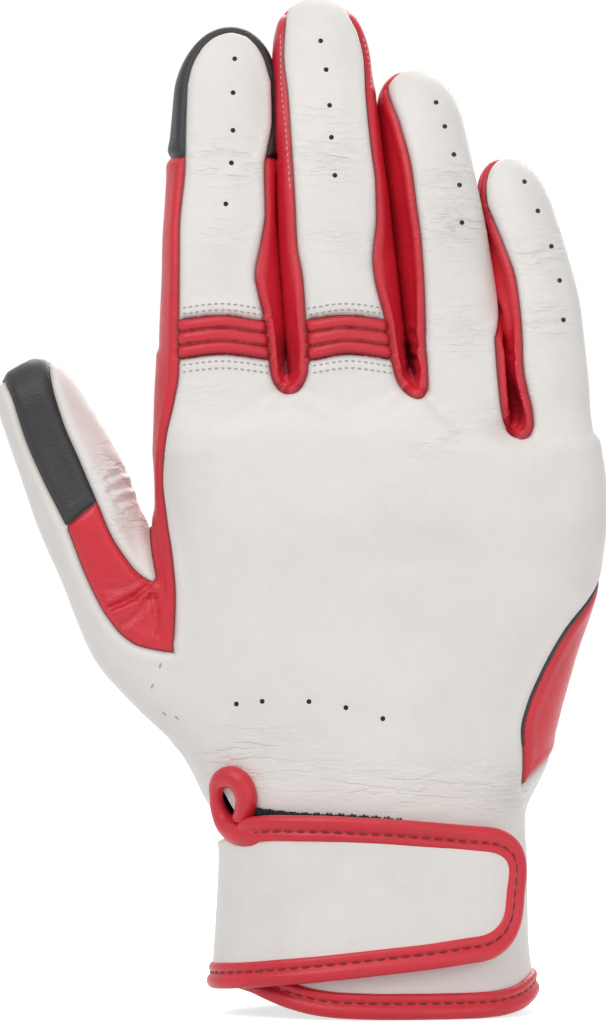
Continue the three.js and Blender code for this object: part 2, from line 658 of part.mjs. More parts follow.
// Hem binding: a rolled strip round the hem, open at the slit, with a flat underside
function hemRing(v) {
  const low = hemLevel(v);
  const [out, into] = [-HEM_PROUD, LEATHER + HEM_PROUD];
  const profile = [
    [into, low],
    [out, low],
    [out, low + 0.7 * HEM_BINDING],
    [0, low + HEM_BINDING],
    [LEATHER, low + HEM_BINDING],
    [into, low + 0.7 * HEM_BINDING],
  ];
  return profile.map(([inset, s]) => cuffSkin(s, v, inset));
}
const hemSteps = 60;
const hemRings = Array.from({ length: hemSteps + 1 }, (_, i) => hemRing(lerp(...cuffRound, i / hemSteps)));
add(glove, "hem_binding", loft(hemRings.map((ring) => [...ring].reverse())), RED);

// Elastic tape inside the palm side of the wrist
add(
  glove,
  "wrist_elastic",
  panel(cuffSkin, {
    from: () => CUFF_HEIGHT - ELASTIC.below - ELASTIC.width,
    to: () => CUFF_HEIGHT - ELASTIC.below,
    around: () => ELASTIC.around,
    shares: evenShares(2),
    columns: 12,
    outside: LEATHER + SEAM,
    wall: TAPE,
  }),
  BLACK,
);

// Loop of binding that finishes the end of the wrist slit
{
  const centre = handSkin(SLIT_LOOP.foot, SLIT.at, 0).x + SLIT_LOOP.width / 4;
  const half = SLIT_LOOP.width / 2;
  const bend = SLIT_LOOP.top - half;
  const outline = [
    [-half, SLIT_LOOP.foot],
    [-half, lerp(SLIT_LOOP.foot, bend, 0.5)],
    [-half, bend],
    [-half * Math.SQRT1_2, bend + half * Math.SQRT1_2],
    [0, SLIT_LOOP.top],
    [half * Math.SQRT1_2, bend + half * Math.SQRT1_2],
    [half, bend],
    [half, lerp(SLIT_LOOP.foot, bend, 0.5)],
    [half, SLIT_LOOP.foot],
  ];
  const lift = SLIT_BINDING_RADIUS + SEAM;
  const points = outline.map(([x, up]) => new THREE.Vector3(centre + x, handFaces(centre + x, up, -lift).back, up));
  add(hand, "slit_binding", tube(points, SLIT_BINDING_RADIUS, 24), RED);
}

// Round tube along a smooth curve
function tube(points, radius, steps) {
  const circle = new THREE.Shape().absarc(0, 0, radius, 0, 2 * Math.PI);
  const path = new THREE.CatmullRomCurve3(points, false, "centripetal");
  return new THREE.ExtrudeGeometry(circle, { steps, extrudePath: path, bevelEnabled: false, curveSegments: 4 });
}

// Strap: sewn to the cuff along its root, it laps over the back of the wrist and closes with hook and loop
const loopOut = -SEAM - TAPE; // outer face of the loop pad, as an inset of the cuff skin
const hookOut = loopOut - SEAM - TAPE;
function strapCorner(v) {
  const share = Math.min(Math.max((v - STRAP.end + STRAP_CORNER.turn) / STRAP_CORNER.turn, 0), 1);
  return STRAP_CORNER.rise * (1 - Math.sqrt(1 - share * share));
}
const strapLow = (v) => lerp(STRAP.rootLow, STRAP.endLow, smoothstep(v, STRAP.root, STRAP.end)) + strapCorner(v);
const strapHigh = (v) => lerp(STRAP.rootHigh, STRAP.endHigh, smoothstep(v, -20, STRAP.end)) - strapCorner(v);
const strapInset = (v) => lerp(-SEAM, hookOut - SEAM, smoothstep(v, STRAP.root, STRAP.seated));
const strapSkin = (s, v, inset) => cuffSkin(s, v, strapInset(v) - LEATHER + inset);
const strapEdge = STRAP_BINDING_RADIUS + SEAM;
const strapTurn = radToDeg(strapEdge / ((wrist.palm - wrist.back) / 2));
const strap = new THREE.Group();
strap.name = "strap_hinge";
glove.add(strap);
add(
  strap,
  "strap_panel",
  panel(strapSkin, {
    from: (v) => strapLow(v + strapTurn) + strapEdge,
    to: (v) => strapHigh(v + strapTurn) - strapEdge,
    around: () => [STRAP.root, STRAP.end - strapTurn],
    shares: evenShares(3),
    columns: 28,
  }),
  WHITE,
);
{
  const corner = STRAP.end - STRAP_CORNER.turn;
  const straight = evenShares(8).map((share) => lerp(STRAP.seated, corner, share));
  const rounded = [0.4, 0.7, 0.9, 1].map((share) => lerp(corner, STRAP.end, share));
  const run = [...straight, ...rounded];
  const halfway = [STRAP.end, (strapLow(STRAP.end) + strapHigh(STRAP.end)) / 2];
  const back = run.map((v) => [v, strapHigh(v)]).reverse();
  const route = [...run.map((v) => [v, strapLow(v)]), halfway, ...back];
  const points = route.map(([v, s]) => strapSkin(s, v, LEATHER / 2));
  add(strap, "strap_binding", tube(points, STRAP_BINDING_RADIUS, 64), RED);
}
const pad = {
  from: (v) => strapLow(v + strapTurn) + strapEdge + CLOSURE_EDGE,
  to: (v) => strapHigh(v + strapTurn) - strapEdge - CLOSURE_EDGE,
  around: () => [STRAP.end - CLOSURE.margin - CLOSURE.length, STRAP.end - CLOSURE.margin],
  shares: evenShares(2),
  columns: 8,
  wall: TAPE,
};
add(strap, "strap_hook_pad", panel(cuffSkin, { ...pad, outside: hookOut }), BLACK);
add(glove, "cuff_loop_pad", panel(cuffSkin, { ...pad, outside: loopOut }), BLACK);

// The origin is under the middle of the glove, on the plane of the hem
const bounds = new THREE.Box3().setFromObject(glove, true);
const middle = bounds.getCenter(new THREE.Vector3());
glove.position.set(-middle.x, -middle.y, -bounds.min.z);

export default glove;
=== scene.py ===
"""Looks of the leather motorcycle glove. Sizes are in millimetres of the row frame until an object is made.

The leather is one closed skin: the zero level of a field built from rounded sections of the hand, the
fingers and the thumb. It is cut into panels along the seams, pressed in at the seams, creased at the
joints and then split where the bodies of the frame bend.
"""
import math

import bmesh
import bpy
import numpy as np
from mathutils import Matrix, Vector
from mathutils.bvhtree import BVHTree
from mathutils.kdtree import KDTree


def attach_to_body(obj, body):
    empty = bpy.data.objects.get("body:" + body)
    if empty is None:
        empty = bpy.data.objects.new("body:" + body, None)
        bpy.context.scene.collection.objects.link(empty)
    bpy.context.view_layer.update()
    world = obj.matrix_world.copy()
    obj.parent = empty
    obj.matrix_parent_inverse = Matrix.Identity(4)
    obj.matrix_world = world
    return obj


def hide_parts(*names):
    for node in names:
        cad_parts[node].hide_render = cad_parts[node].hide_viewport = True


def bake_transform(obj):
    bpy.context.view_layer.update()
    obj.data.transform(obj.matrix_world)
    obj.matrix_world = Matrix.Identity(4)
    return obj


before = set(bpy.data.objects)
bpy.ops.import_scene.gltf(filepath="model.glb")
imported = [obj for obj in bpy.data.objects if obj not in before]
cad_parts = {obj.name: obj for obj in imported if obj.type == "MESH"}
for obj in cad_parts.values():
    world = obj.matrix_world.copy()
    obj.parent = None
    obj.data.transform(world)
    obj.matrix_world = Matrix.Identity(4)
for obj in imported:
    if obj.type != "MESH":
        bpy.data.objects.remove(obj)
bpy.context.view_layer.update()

MM = 0.001
SHIFT = np.array([0.817, 1.073, 0.0])  # row frame of a point given from the palm's own axis

# Photograph: millimetres in a pixel, the columns of the palm's axis and of x = 0, and the row of the hem
PIXEL = 0.245
PALM_COLUMN = 303.0
ZERO_COLUMN = PALM_COLUMN - SHIFT[0] / PIXEL
HEM_ROW = 1020
PHOTO_SIZE = (606, 1024)

# Skin
CELL = 1.25  # grid of the field
FIELD_BOX = [(-82.0, -33.0, -6.0), (82.0, 35.0, 258.0)]
FINE_STEPS = [(3.2, 0.85), (0.9, 0.5)]  # reach beside the seams, and the longest edge there
SEAM_DEPTH = 0.65
SEAM_WIDTH = 0.7
SEAM_PUFF = 0.32

# Sections of the hand above the wrist seam: height, left, right, back and palm
HAND_SECTIONS = [
    (48, -18.7, 53.4, -24.0, 25.0),
    (51, -24.0, 54.6, -24.0, 25.0),
    (58, -26.3, 59.2, -23.5, 24.5),
    (66, -29.4, 62.4, -23.0, 24.5),
    (80, -33.0, 65.5, -22.5, 24.0),
    (93, -35.0, 69.2, -22.0, 22.0),
    (103, -36.0, 72.9, -22.0, 20.0),
    (120, -36.6, 75.2, -22.0, 17.5),
    (132, -36.8, 75.4, -21.5, 16.0),
    (142, -36.8, 73.6, -20.5, 15.0),
    (152, -36.2, 71.0, -18.8, 14.0),
    (170, -35.4, 69.4, -17.0, 13.0),
]
HEM_SECTION = (-21.2, 58.9, -27.5, 28.5)
HAND_POWER = 2.3
HAND_TOP = [(-36.6, 172), (-28, 154), (-19.6, 151), (-3.4, 156), (11.4, 151), (27.4, 156.3), (39.4, 147),
            (53.7, 146), (62.4, 147), (76, 151)]
HAND_CAP = 9.0
WRIST = 48.0
CUFF_STEP = 9.0
CUFF_PUFF = 2.4  # how far the cuff stands out below the wrist, on the little-finger side
CUFF_PUFF_RISE = (10, 30)  # height above which it does, and over which it comes in
HEM_FOOT = -12  # the lowest section, below the hem
SIDE_SEAM = 1.0  # seam between back and palm, behind the middle of the section
# Height of the hem as (share of the half width, height), on the left and the right side
HEM_LEFT = [(0.0, 0.0), (0.23, 0.3), (0.38, 0.9), (0.53, 2.2), (0.68, 4.2), (0.8, 6.0), (1.0, 7.6)]
HEM_RIGHT = [(0.0, 0.0), (0.6, 0.05), (0.74, 0.3), (0.81, 0.7), (0.89, 1.5), (0.96, 3.0), (1.0, 4.2)]
HEM_BINDING = 5.0
SLIT_SIDE = -0.905  # place of the wrist slit, as a share of the half width
SLIT_HALF = 1.9
SLIT_TOP = 54.2
SLIT_HEAD = 3.4

# Fingers: knuckle point on the palm face, leans, roll, sideways slide of the form, lengths, half sizes, and
# the length of the rounded end as a share of its half width with the squareness there
FINGERS = {
    "index": dict(knuckle=(-19.6, 10.8, 161), lean=-1.9, tip_lean=2.8, roll=5, slide=-0.15,
                  lengths=(31.5, 52.6), width=(16.4, 14.3, 13.0), depth=(12.4, 11.6, 10.4), end=(1.35, 2.05)),
    "middle": dict(knuckle=(11.2, 11.8, 161), lean=-5.4, tip_lean=-4.4, roll=3, slide=-0.2,
                   lengths=(36.5, 55.1), width=(15.3, 14.3, 12.2), depth=(13.2, 12.2, 10.8), end=(1.3, 2.15)),
    "ring": dict(knuckle=(38.2, 11.2, 155), lean=-6.5, tip_lean=-9.2, roll=25, slide=0.05,
                 lengths=(35.5, 44.4), width=(12.3, 11.6, 10.2), depth=(12.6, 11.6, 10.0), end=(1.3, 2.15)),
    "little": dict(knuckle=(60.8, 9.6, 145), lean=-5.9, tip_lean=-11.5, roll=33, slide=0.3,
                   lengths=(31, 37.0), width=(10.2, 10.3, 8.8), depth=(11.0, 10.2, 8.8), end=(1.4, 2.1)),
}
FINGER_NAMES = list(FINGERS)
THUMB = len(FINGER_NAMES)
KNUCKLE_CURL = 4.0
MIDDLE_CURL = 7.0
PIVOT_OUT = 0.3
ROOT_REACH = 30.0  # how far a finger's form runs down into the hand
ROOT_SINK = (2.2, 2.0)  # how far its lowest section lies deeper, and how much deeper that section is
ROOT_FADE = (8, 0.35)  # height above its lowest section where the form fades, and how steeply
SECTION_POWERS = (2.6, 2.8, 2.6, 2.4, 2.3)  # squareness of its sections, from the root to the last one
MIDDLE_STATION = 0.45  # place of that one, as a share of the upper segment, where it is a little shallower
MIDDLE_THINNER = 0.4
LOWER_SHARES = (0.55, 0.45)  # parts of the widths below and above in the section half-way up the base
UPPER_SHARES = (0.4, 0.6)  # the same in that last section
FINGER_SOFTNESS = 5.0  # rounding of the stations of a finger, and of the hand and the thumb
FORM_SOFTNESS = 4.0
# While the skin is meshed the fingers are held apart: by how much, over which height, and up to what share
SPREAD = {"index": -3.2, "middle": -0.4, "ring": 2.6, "little": 6.0}
SPREAD_RISE = 14.0
SPREAD_MOST = 1.6
CROTCH_LEVEL = {"index": 157.0, "middle": 157.0, "ring": 157.3, "little": 146.5}

# Thumb: places on its axis with half width and half depth
THUMB_LEAN = -31.0
THUMB_STATIONS = [
    ((-6, 5, 60), 9, 12),
    ((-24, 5, 77), 13.8, 15),
    ((-40, 5, 93), 13.8, 14),
    ((-49.2, 3.9, 112), 12.0, 12.3),
    ((-52.4, 4.5, 121), 13.0, 12.2),
    ((-56.2, 5.2, 130), 13.0, 12),
    ((-62.5, 7.2, 144), 11.6, 11.2),
    ((-69.0, 8.6, 157), 9.8, 10.2),
]
THUMB_TIP = (-70.6, 9.0, 161.5)
THUMB_DOME = 11.0

# Where the skin bends, as distances from the knuckle along the first segment: two spans for each finger
BENDS = {
    "index": ((-2, 20), (23, 45)),
    "middle": ((-2, 22), (27, 51)),
    "ring": ((2, 24), (26, 50)),
    "little": ((2, 21), (23, 44)),
    "thumb": ((-6, 9), (11, 28)),
}
THUMB_HINGE = np.array([-49.2, 16.5, 112.0]) + SHIFT
THUMB_AXIS = np.array([-0.3575, 0.0698, 0.9313])

# Seams on the back of the glove, as (row, column) of the photograph
INDEX_LEFT = [(22, 198), (36, 198), (55, 188), (73, 184), (133, 182.5), (157, 182.5), (228, 177), (268, 177),
              (370, 177), (400, 172), (440, 163), (480, 160), (520, 164), (560, 170), (600, 173), (640, 172),
              (656, 164)]
INDEX_RIGHT = [(22, 255), (47, 265), (73, 272), (114, 273), (145, 268), (162, 265), (209, 266), (241, 261),
               (273, 255), (290, 258), (316, 264), (345, 268), (370, 271), (380, 274), (387, 279),
               (390.5, 284), (392, 289)]
MIDDLE_LEFT = [(-26, 290), (9, 284), (47, 282), (87, 286.5), (145, 290.5), (199, 294), (241, 296), (276, 302),
               (314, 305), (345, 308), (370, 307), (380, 304), (387, 299), (390.5, 294), (392, 289)]
MIDDLE_RIGHT = [(-26, 342), (1, 350), (25, 361), (55, 367), (88, 368.5), (145, 374), (178, 378), (212, 378.5),
                (257, 374), (276, 376), (316, 386), (345, 391), (360, 393.5), (375, 397.5), (385, 402.5),
                (391, 407.5), (395, 413), (397, 419)]
RING_LEFT = [(53, 403), (66, 393), (76, 388), (118, 401), (160, 412), (199, 417), (239, 422), (296, 425),
             (346, 426), (370, 428), (385, 428), (391, 427), (395, 424.5), (397, 419)]
RING_RIGHT = [(225, 492), (262, 492.5), (300, 495.5), (340, 498.5), (362, 500), (380, 501.5), (400, 503.5),
              (416, 506), (428, 510), (435, 516), (438, 525)]
LITTLE_LEFT = [(144, 496), (155, 484), (163, 479), (188, 485), (239, 505), (278, 518), (324, 523), (370, 525),
               (390, 529), (410, 534), (424, 535), (433, 532), (438, 525)]
LEFT_SEAMS = [INDEX_LEFT, MIDDLE_LEFT, RING_LEFT, LITTLE_LEFT]
RIGHT_SEAMS = [INDEX_RIGHT, MIDDLE_RIGHT, RING_RIGHT, None]
THUMB_LEFT = [(345, -14), (372, -6), (395, 5), (440, 20), (480, 38), (527, 62), (580, 83), (620, 105),
              (645, 130), (653, 160), (656, 200)]
THUMB_RIGHT = [(345, 44), (372, 47), (420, 60), (455, 75), (506, 97), (535, 109.5), (560, 126), (573, 137),
               (582, 151), (590, 260)]
ROOT_SEAM = [(656, 164), (668, 159), (690, 155), (716, 166), (740, 181), (765, 202)]
# Leaf on the little-finger edge: its two edges as (row, depth in millimetres behind or before the side seam)
LEAF_BACK = [(574, 0.0), (582, 2.2), (592, 4.8), (604, 7.6), (626, 11.2), (652, 13.4), (676, 14.9),
             (704, 16.2), (728, 16.7), (744, 16.2), (762, 15.2), (775, 14.2), (788, 13.0)]
LEAF_PALM = [(574, 0.0), (582, 1.6), (592, 3.4), (604, 5.3), (626, 7.8), (652, 9.4), (676, 10.4), (704, 11.3),
             (728, 10.5), (744, 6.0), (762, -4.0), (775, -10.0), (788, -13.0)]
SLITS = [  # columns between two fingers
    [(20, 277), (160, 281), (230, 279), (300, 281), (345, 285), (392, 289)],
    [(60, 379), (160, 384), (240, 390), (320, 402), (392, 417)],
    [(150, 484), (230, 496), (330, 503), (436, 524)],
]
# Seams given as (column, row)
INDEX_ARC = [(184, 76), (188, 58), (199, 37), (213, 25), (229, 20.5), (244, 24), (255, 33), (264, 47),
             (272, 73)]
STRETCH_TOP = [(177, 317), (222, 313), (266, 318), (304, 317), (345, 313), (388, 317)]
STRETCH_BOTTOM = [(177, 358), (222, 353), (270, 358), (307, 359), (348, 353), (394, 358)]
THUMB_TOUCH = [(29, 554), (62, 527), (95, 500), (128, 473)]
# Edge of the red wall on the palm side of the index finger, as (row, column)
PALM_LEFT = [(151, 178), (300, 170), (345, 168), (440, 166), (520, 166), (575, 160), (604, 148)]
TOUCH_ROW = 151  # lower edge of the touch leather on the index finger
FOOT = 46  # height and half width of the foot of a slit, in pixels
PALM_WALL = 10.5  # half width of the red wall seen from the palm, in pixels
PALM_SHIFT = (0, -12, -21)  # columns by which the slits lie further left on the palm side
RING_TAPER = 0.1  # millimetres for each row by which the outer wall of the ring finger widens downwards
RING_RIM = 2.5  # the ring finger's red wall is whole this far in front of its side seam
WALL_SHARE = 0.75  # part of a finger's half width where its wall begins on the palm side
WALL_FOOT = 2  # height of the lower end of that wall above the crotch
DOME_END = 0.99  # share of the rounded fingertip up to which it narrows
SEAM_TURN = 20  # height below a knuckle over which the side seam moves to the middle of the finger
PALM_FOOT = 24  # height of the foot of a slit on the palm side, in pixels
THUMB_PAD = (24, 0.62)  # length of the touch leather inside the thumb, and its share of the half width

PANELS = ["none", "back", "palm", "index_back", "middle_back", "index_stretch", "middle_stretch", "red",
          "touch", "thumb_outer", "thumb_inner", "ulnar", "cuff"]
PANEL = {name: i for i, name in enumerate(PANELS)}
SEGMENTS = 1 + 2 * (len(FINGER_NAMES) + 1)  # the hand, then two for each finger and the thumb


def column_of(x):
    return ZERO_COLUMN + x / PIXEL


def row_of(z):
    return HEM_ROW - z / PIXEL


def x_of(column):
    return (column - ZERO_COLUMN) * PIXEL


def z_of(row):
    return (HEM_ROW - row) * PIXEL


def on_curve(points, at):
    """Value at a place of a smooth curve through points given as (place, value)."""
    place, value = np.array(points, float).T
    rise = np.diff(value) / np.diff(place)
    both = rise[:-1] * rise[1:]
    slope = np.concatenate([rise[:1], np.zeros(len(both)), rise[-1:]])
    turning = np.flatnonzero(both > 0)
    slope[turning + 1] = 2 * both[turning] / (rise[turning] + rise[turning + 1])
    k = np.clip(np.searchsorted(place, at, side="right") - 1, 0, len(place) - 2)
    span = place[k + 1] - place[k]
    t = np.clip((at - place[k]) / span, 0, 1)
    start = (1 + 2 * t) * value[k] + t * span * slope[k]
    end = (3 - 2 * t) * value[k + 1] - (1 - t) * span * slope[k + 1]
    return (1 - t) ** 2 * start + t**2 * end


PATH_STEPS = 12  # points of a curve before it is evened out, for each point kept


def smooth_path(points, count, closed=False):
    """Evenly spaced points on a smooth curve through the given ones."""
    points = np.asarray(points, float)
    if closed:
        points = np.concatenate([points[-3:], points, points[:4]])
    place = np.concatenate([[0], np.cumsum(np.linalg.norm(np.diff(points, axis=0), axis=1))])
    slope = np.gradient(points, place, axis=0)
    low, high = (place[3], place[-4]) if closed else (0, place[-1])
    at = np.linspace(low, high, PATH_STEPS * count)
    k = np.clip(np.searchsorted(place, at, side="right") - 1, 0, len(place) - 2)
    span = (place[k + 1] - place[k])[:, None]
    t = (at - place[k])[:, None] / span
    curve = (2 * t**3 - 3 * t**2 + 1) * points[k] + (t**3 - 2 * t**2 + t) * span * slope[k]
    curve += (3 * t**2 - 2 * t**3) * points[k + 1] + (t**3 - t**2) * span * slope[k + 1]
    run = np.concatenate([[0], np.cumsum(np.linalg.norm(np.diff(curve, axis=0), axis=1))])
    even = np.linspace(0, run[-1], count + closed)[:count]
    return np.stack([np.interp(even, run, curve[:, axis]) for axis in range(curve.shape[1])], -1)


def ease(t):
    t = np.clip(t, 0, 1)
    return t * t * (3 - 2 * t)


# Field: negative inside the glove, about a distance in millimetres near the skin
LEVEL_STEP = 0.5
LEVELS = np.arange(-14, 264, LEVEL_STEP)


def smooth_table(places, values, softness):
    """Values on LEVELS, rounded where the stations make them turn."""
    reach = int(4 * softness / LEVEL_STEP)
    bell = np.exp(-0.5 * (np.arange(-reach, reach + 1) * LEVEL_STEP / softness) ** 2)
    bell /= bell.sum()
    values = np.interp(LEVELS, places, values)
    padded = np.pad(values, reach, mode="reflect", reflect_type="odd")
    return np.convolve(padded, bell, mode="valid")


def direction(lean, curl):
    lean, curl = math.radians(lean), math.radians(curl)
    return np.array([math.sin(lean) * math.cos(curl), math.sin(curl), math.cos(lean) * math.cos(curl)])


def finger_path(spec):
    """Knuckle point, middle point and the directions of the two segments of a finger."""
    knuckle = np.array(spec["knuckle"], float) + SHIFT
    base = direction(spec["lean"], KNUCKLE_CURL)
    middle = knuckle + spec["lengths"][0] * base
    return knuckle, middle, base, direction(spec["tip_lean"], KNUCKLE_CURL + MIDDLE_CURL)


def finger_form(spec):
    knuckle, middle, _, tip = finger_path(spec)
    width, depth, roll = spec["width"], spec["depth"], math.radians(spec["roll"])
    end = middle + spec["lengths"][1] * tip
    curl = math.radians(KNUCKLE_CURL + MIDDLE_CURL)
    lift = [np.array([0, -math.cos(curl), math.sin(curl)]) * (d + PIVOT_OUT) for d in depth]
    end_length, end_power = spec["end"]
    dome = end_length * width[2]
    half_way = 0.5 * (knuckle + middle)
    upper = middle + lift[1] + MIDDLE_STATION * spec["lengths"][1] * tip
    lower_width = LOWER_SHARES[0] * width[0] + LOWER_SHARES[1] * width[1]
    upper_width = UPPER_SHARES[0] * width[1] + UPPER_SHARES[1] * width[2]
    sink, deeper = ROOT_SINK
    powers = SECTION_POWERS
    stations = [  # centre, half width, half depth, squareness and roll
        (knuckle + [0, -depth[0] - sink, -ROOT_REACH], width[0], depth[0] + deeper, powers[0], 0),
        (knuckle + [0, -depth[0] - PIVOT_OUT, 0], width[0], depth[0], powers[1], 0.5 * roll),
        (half_way + [0, -depth[0], 0], lower_width, depth[0], powers[2], roll),
        (middle + lift[1], width[1], depth[1], powers[3], roll),
        (upper, upper_width, depth[1] - MIDDLE_THINNER, powers[4], roll),
        (end + lift[2] - dome * tip, width[2], depth[2], end_power, roll),
        (end + lift[2], width[2], depth[2], end_power, roll),
    ]
    z = [station[0][2] for station in stations]
    values = [[s[0][0] + spec["slide"] for s in stations], [s[0][1] for s in stations]]
    values += [[s[k] for s in stations] for k in range(1, 5)]
    return dict(tables=[smooth_table(z, value, FINGER_SOFTNESS) for value in values], top=z[-1], dome=dome)


def hand_tables():
    hem, wrist = np.array(HEM_SECTION), np.array(HAND_SECTIONS[0][1:])
    cuff = [(HEM_FOOT, *hem)]
    puff_low, puff_rise = CUFF_PUFF_RISE
    for height in np.arange(0, WRIST, CUFF_STEP):
        share = 1 - (1 - height / WRIST) ** 2
        puff = np.array([0, CUFF_PUFF * ease((height - puff_low) / puff_rise), 0, 0])
        cuff.append((height, *(hem + share * (wrist - hem) + puff)))
    z, left, right, back, palm = np.array([*cuff, *HAND_SECTIONS], float).T
    centre = [(left + right) / 2 + SHIFT[0], (back + palm) / 2 + SHIFT[1]]
    values = [*centre, (right - left) / 2, (palm - back) / 2]
    return [smooth_table(z, value, FORM_SOFTNESS) for value in values]


def thumb_form():
    lean = math.radians(THUMB_LEAN)
    along = np.array([math.sin(lean), 0, math.cos(lean)])
    across = np.array([math.cos(lean), 0, -math.sin(lean)])
    places = [np.array(place, float) + SHIFT for place, _, _ in THUMB_STATIONS]
    height = [place @ along for place in places]
    values = [
        [place @ across for place in places],
        [place[1] for place in places],
        [half for _, half, _ in THUMB_STATIONS],
        [half for _, _, half in THUMB_STATIONS],
    ]
    top = (np.array(THUMB_TIP) + SHIFT) @ along
    tables = [smooth_table(height, value, FORM_SOFTNESS) for value in values]
    return dict(tables=tables, along=along, across=across, low=height[0], top=top)


FINGER_FORMS = [finger_form(spec) for spec in FINGERS.values()]
FINGER_PATHS = [finger_path(spec) for spec in FINGERS.values()]
HAND_TABLES = hand_tables()
THUMB_FORM = thumb_form()
ROOT_BLEND = 3.2
THUMB_BLEND = 7.0
THUMB_POWER = 2.2
THUMB_FADE = (4, 0.8)  # height above its lowest station where the thumb's form fades, and how steeply
SMALLEST_SIZE = 0.02  # keeps the field finite at the centre of a section


def rounded(dx, dy, dz, half_width, half_depth, cap, power):
    """Distance to a rounded section, along the ray from its centre."""
    size = np.abs(dx / half_width) ** power + np.abs(dy / half_depth) ** power + (dz / cap) ** power
    size = size ** (1 / power)
    reach = np.sqrt(dx * dx + dy * dy + dz * dz)
    return reach - reach / np.maximum(size, SMALLEST_SIZE)


def at_level(tables, z):
    return [np.interp(z, LEVELS, table) for table in tables]


def hand_field(p):
    x, y, z = p.T
    cx, cy, a, b = at_level(HAND_TABLES, z)
    rise = np.maximum(z - (on_curve(HAND_TOP, x - SHIFT[0]) - HAND_CAP), 0)
    return rounded(x - cx, y - cy, rise, a, b, HAND_CAP, HAND_POWER)


def spread_of(i, z):
    """How far a finger is held aside at a height while the skin is meshed."""
    name = FINGER_NAMES[i]
    return SPREAD[name] * np.clip((z - CROTCH_LEVEL[name]) / SPREAD_RISE, 0, SPREAD_MOST)


def finger_place(p, i, spread=False):
    """Place of points in the rolled section of a finger, with the section's half sizes and squareness."""
    x, y, z = p.T
    cx, cy, a, b, power, roll = at_level(FINGER_FORMS[i]["tables"], z)
    if spread:
        cx = cx + spread_of(i, z)
    dx, dy = x - cx, y - cy
    return dx * np.cos(roll) + dy * np.sin(roll), dy * np.cos(roll) - dx * np.sin(roll), a, b, power


def finger_field(p, i, spread=False):
    form = FINGER_FORMS[i]
    dx, dy, a, b, power = finger_place(p, i, spread)
    rise = np.maximum(p[:, 2] - (form["top"] - form["dome"]), 0)
    above, steepness = ROOT_FADE
    sink = np.maximum(FINGER_PATHS[i][0][2] - ROOT_REACH + above - p[:, 2], 0)
    return rounded(dx, dy, rise, a, b, form["dome"], power) + steepness * sink


def thumb_place(p):
    """Place of points in the thumb's section, its half sizes and the height along the thumb."""
    along = p @ THUMB_FORM["along"]
    cu, cy, a, b = at_level(THUMB_FORM["tables"], along)
    return p @ THUMB_FORM["across"] - cu, p[:, 1] - cy, a, b, along


def thumb_field(p):
    du, dy, a, b, along = thumb_place(p)
    rise = np.maximum(along - (THUMB_FORM["top"] - THUMB_DOME), 0)
    above, steepness = THUMB_FADE
    sink = np.maximum(THUMB_FORM["low"] + above - along, 0)
    return rounded(du, dy, rise, a, b, THUMB_DOME, THUMB_POWER) + steepness * sink


def smooth_min(a, b, k):
    h = np.maximum(k - np.abs(a - b), 0) / k
    return np.minimum(a, b) - h * h * k / 4


def whole_field(p):
    """The glove with its fingers held apart."""
    fingers = np.min([finger_field(p, i, True) for i in range(THUMB)], axis=0)
    return smooth_min(smooth_min(hand_field(p), fingers, ROOT_BLEND), thumb_field(p), THUMB_BLEND)


def owner_of(p, spread=False):
    """Number of the finger that a point of the skin belongs to, or THUMB."""
    fields = [finger_field(p, i, spread) for i in range(THUMB)]
    return np.argmin([*fields, thumb_field(p)], axis=0)


def own_field(p, owner):
    """The glove with only the finger that owns each point."""
    value = hand_field(p)
    for i in range(THUMB):
        mine = (owner == i) | ((owner == THUMB) & (i == 0))
        if mine.any():
            value[mine] = smooth_min(value[mine], finger_field(p[mine], i), ROOT_BLEND)
    return smooth_min(value, thumb_field(p), THUMB_BLEND)


GRADIENT_STEP = 0.05
SETTLE_ROUNDS = 3
SETTLE_STEP = 0.8  # longest move in one round
LEAST_SLOPE = 0.05


def gradient(p, owner):
    slopes = []
    for axis in np.eye(3) * GRADIENT_STEP:
        slopes.append((own_field(p + axis, owner) - own_field(p - axis, owner)) / (2 * GRADIENT_STEP))
    return np.array(slopes).T


def settle(p, owner):
    """Moves points onto the skin."""
    for _ in range(SETTLE_ROUNDS):
        slope = gradient(p, owner)
        steep = np.maximum((slope * slope).sum(1), LEAST_SLOPE)
        step = np.clip(own_field(p, owner) / steep, -SETTLE_STEP, SETTLE_STEP)
        p = p - step[:, None] * slope
    return p


